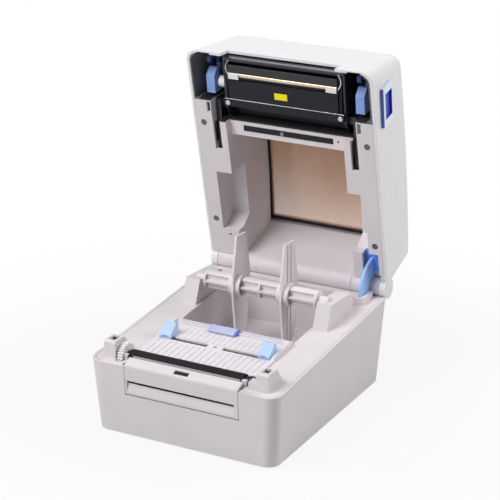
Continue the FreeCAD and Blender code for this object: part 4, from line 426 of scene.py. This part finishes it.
def shut_box(node):
    """A lid node's lowest and highest corners."""
    back = IN_LID.inverted()
    points = [back @ vertex.co / MM for vertex in nodes[node].data.vertices]
    return [Vector([pick(point[i] for point in points) for i in range(3)]) for pick in (min, max)]


def skin(name, rings, place, finish, body):
    """A closed piece through rings of points, which rides on a body."""
    shape = bmesh.new()
    loops = [[shape.verts.new(point) for point in ring] for ring in rings]
    shape.faces.new(loops[0])
    shape.faces.new(loops[-1])
    for one, other in zip(loops, loops[1:]):
        for i in range(len(one)):
            shape.faces.new((one[i - 1], one[i], other[i], other[i - 1]))
    bmesh.ops.recalc_face_normals(shape, faces=shape.faces)
    mesh = bpy.data.meshes.new(name)
    shape.to_mesh(mesh)
    shape.free()
    mesh.transform(place @ Matrix.Scale(MM, 4))
    mesh.materials.append(finish)
    made = bpy.data.objects.new(name, mesh)
    bpy.context.scene.collection.objects.link(made)
    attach(made, body)


def strip(name, ends, outline, place, finish, body):
    """A piece that runs across the printer between two ends: an outline along and up."""
    skin(name, [[(across, along, up) for along, up in outline] for across in ends], place, finish, body)


def wire(name, path, radius, place, finish, body):
    """A round wire along a path that never runs straight across the printer."""
    angles = [math.tau * i / WIRE_SIDES for i in range(WIRE_SIDES)]
    circle = [Vector((math.cos(angle), math.sin(angle), 0)) * radius for angle in angles]
    rings = []
    for i, point in enumerate(path):
        run = path[min(i + 1, len(path) - 1)] - path[max(i - 1, 0)]
        turn = run.to_track_quat("Z", "X")
        rings.append([point + turn @ corner for corner in circle])
    skin(name, rings, place, finish, body)


def glaze():
    """The bright line that burns the label."""
    low, high = shut_box("head_substrate")
    rear = high.y - GLAZE_STRIP["setback"]
    front = rear - GLAZE_STRIP["width"]
    crest = low.z - GLAZE_STRIP["height"]
    slope = GLAZE_STRIP["slope"]
    inset = GLAZE_STRIP["inset"]
    outline = [(front, low.z), (front + slope, crest), (rear - slope, crest), (rear, low.z)]
    strip("head_glaze", (low.x + inset, high.x - inset), outline, IN_LID, GLAZE, "head")


def film():
    """A blank patch on the driver cover."""
    cover = shut_box("head_cover")[0]
    start, end = (cover.y + along for along in FILM["along"])
    face = cover.z - FILM["thick"]
    outline = [(start, cover.z), (start, face), (end, face), (end, cover.z)]
    strip("blank_film", FILM["across"], outline, IN_LID, YELLOW, "head")


def lip_with_painted_highlight():
    """A thin steel-grey strip along the black bracket's flange edge behind the driver cover: a real edge,
    with a painted highlight in its bright metal colour.
    """
    low, high = shut_box("head_substrate")
    start = shut_box("head_cover")[1].y + HIGHLIGHT_LIP["gap"]
    end = start + HIGHLIGHT_LIP["width"]
    flange = low.z + HIGHLIGHT_LIP["drop"]
    face = flange - HIGHLIGHT_LIP["thick"]
    outline = [(start, flange), (start, face), (end, face), (end, flange)]
    strip("bracket_lip_painted_highlight", (low.x - HIGHLIGHT_LIP["beyond"], high.x + HIGHLIGHT_LIP["beyond"]), outline, IN_LID, STEEL, "head")


def clips():
    """A bowed wire at each end of the bar."""
    low, high = shut_box("head_substrate")
    front = Vector((0, low.y + CLIP["front"], low.z + CLIP["rise_front"]))
    rear = Vector((0, low.y + CLIP["rear"], low.z + CLIP["rise_rear"]))
    for name, end, side in (("clip_left", low.x, -1), ("clip_right", high.x, 1)):
        path = []
        for i in range(CLIP_STEPS + 1):
            share = i / CLIP_STEPS
            point = front.lerp(rear, share)
            point.x = end + side * CLIP["bow"] * math.sin(math.pi * share)
            path.append(point)
        wire(name, path, CLIP["radius"], IN_LID, GEAR, "head")


finish_nodes()
glaze()
film()
lip_with_painted_highlight()
clips()


# Floor, light and camera
def seen_directly(tree):
    """One for rays from the camera, in a mirror or through glass; nothing for the light on the object."""
    path = add(tree, "ShaderNodeLightPath").outputs
    first = reckon(tree, "MAXIMUM", path["Is Camera Ray"], path["Is Glossy Ray"])
    return reckon(tree, "MAXIMUM", first, path["Is Transmission Ray"])


def floor():
    """A white floor that keeps the object's soft shadow and runs out into the white background."""
    bpy.ops.mesh.primitive_plane_add(size=FLOOR_SIZE, location=(0, 0, 0))
    made = bpy.context.object
    made.name = "studio_floor"
    surface, tree, shader = material("studio_floor")
    shader.inputs["Base Color"].default_value = (*FLOOR_COLOUR, 1)
    shader.inputs["Roughness"].default_value = FLOOR_ROUGHNESS
    glow = add(tree, "ShaderNodeEmission", {"Color": WHITE, "Strength": 1.0})
    place = add(tree, "ShaderNodeTexCoord")
    reach = add(tree, "ShaderNodeVectorMath", operation="LENGTH")
    fade = add(tree, "ShaderNodeMapRange", {"From Min": SHADOW_REACH[0], "From Max": SHADOW_REACH[1],
                                            "To Min": SHADOW_FADE, "To Max": 1.0})
    mix = add(tree, "ShaderNodeMixShader")
    tree.links.new(place.outputs["Object"], reach.inputs[0])
    tree.links.new(reach.outputs["Value"], fade.inputs["Value"])
    share = reckon(tree, "MULTIPLY", fade.outputs["Result"], seen_directly(tree))
    tree.links.new(share, mix.inputs["Fac"])
    tree.links.new(shader.outputs["BSDF"], mix.inputs[1])
    tree.links.new(glow.outputs["Emission"], mix.inputs[2])
    tree.links.new(mix.outputs["Shader"], tree.nodes["Material Output"].inputs["Surface"])
    made.data.materials.append(surface)


def aim(made, target, away, distance):
    """Set a lamp or camera at a distance from a point, looking at it, and put it in the scene."""
    made.location = target + away * distance
    made.rotation_euler = (-away).to_track_quat("-Z", "Y").to_euler()
    bpy.context.scene.collection.objects.link(made)


def lamp(name, towards, strength, size):
    """A square soft box in a direction from the object, whose strength is what it adds to a white face."""
    light = bpy.data.lights.new(name, "AREA")
    light.energy = strength * math.pi ** 2 * LAMP_DISTANCE ** 2
    light.size = size
    aim(bpy.data.objects.new(name, light), LIT_POINT, Vector(towards).normalized(), LAMP_DISTANCE)


def world():
    made = bpy.data.worlds.new("studio")
    made.use_nodes = True
    tree = made.node_tree
    soft = tree.nodes["Background"]
    soft.inputs["Color"].default_value = WHITE
    soft.inputs["Strength"].default_value = WORLD_LIGHT
    seen = add(tree, "ShaderNodeBackground", {"Color": WHITE, "Strength": 1.0})
    mix = add(tree, "ShaderNodeMixShader")
    tree.links.new(seen_directly(tree), mix.inputs["Fac"])
    tree.links.new(soft.outputs["Background"], mix.inputs[1])
    tree.links.new(seen.outputs["Background"], mix.inputs[2])
    tree.links.new(mix.outputs["Shader"], tree.nodes["World Output"].inputs["Surface"])
    bpy.context.scene.world = made


def camera():
    lens = bpy.data.cameras.new("camera")
    lens.lens = CAMERA_LENS
    lens.sensor_width = CAMERA_SENSOR
    lens.clip_end = CAMERA_REACH
    made = bpy.data.objects.new("camera", lens)
    level = math.cos(CAMERA_ELEVATION)
    away = Vector((math.sin(CAMERA_AZIMUTH) * level, -math.cos(CAMERA_AZIMUTH) * level,
                   math.sin(CAMERA_ELEVATION)))
    aim(made, CAMERA_TARGET, away, CAMERA_DISTANCE)
    bpy.context.scene.camera = made


floor()
for lamp_name, settings in LAMPS.items():
    lamp(lamp_name, **settings)
world()
camera()
bpy.context.scene.view_settings.view_transform = "Standard"
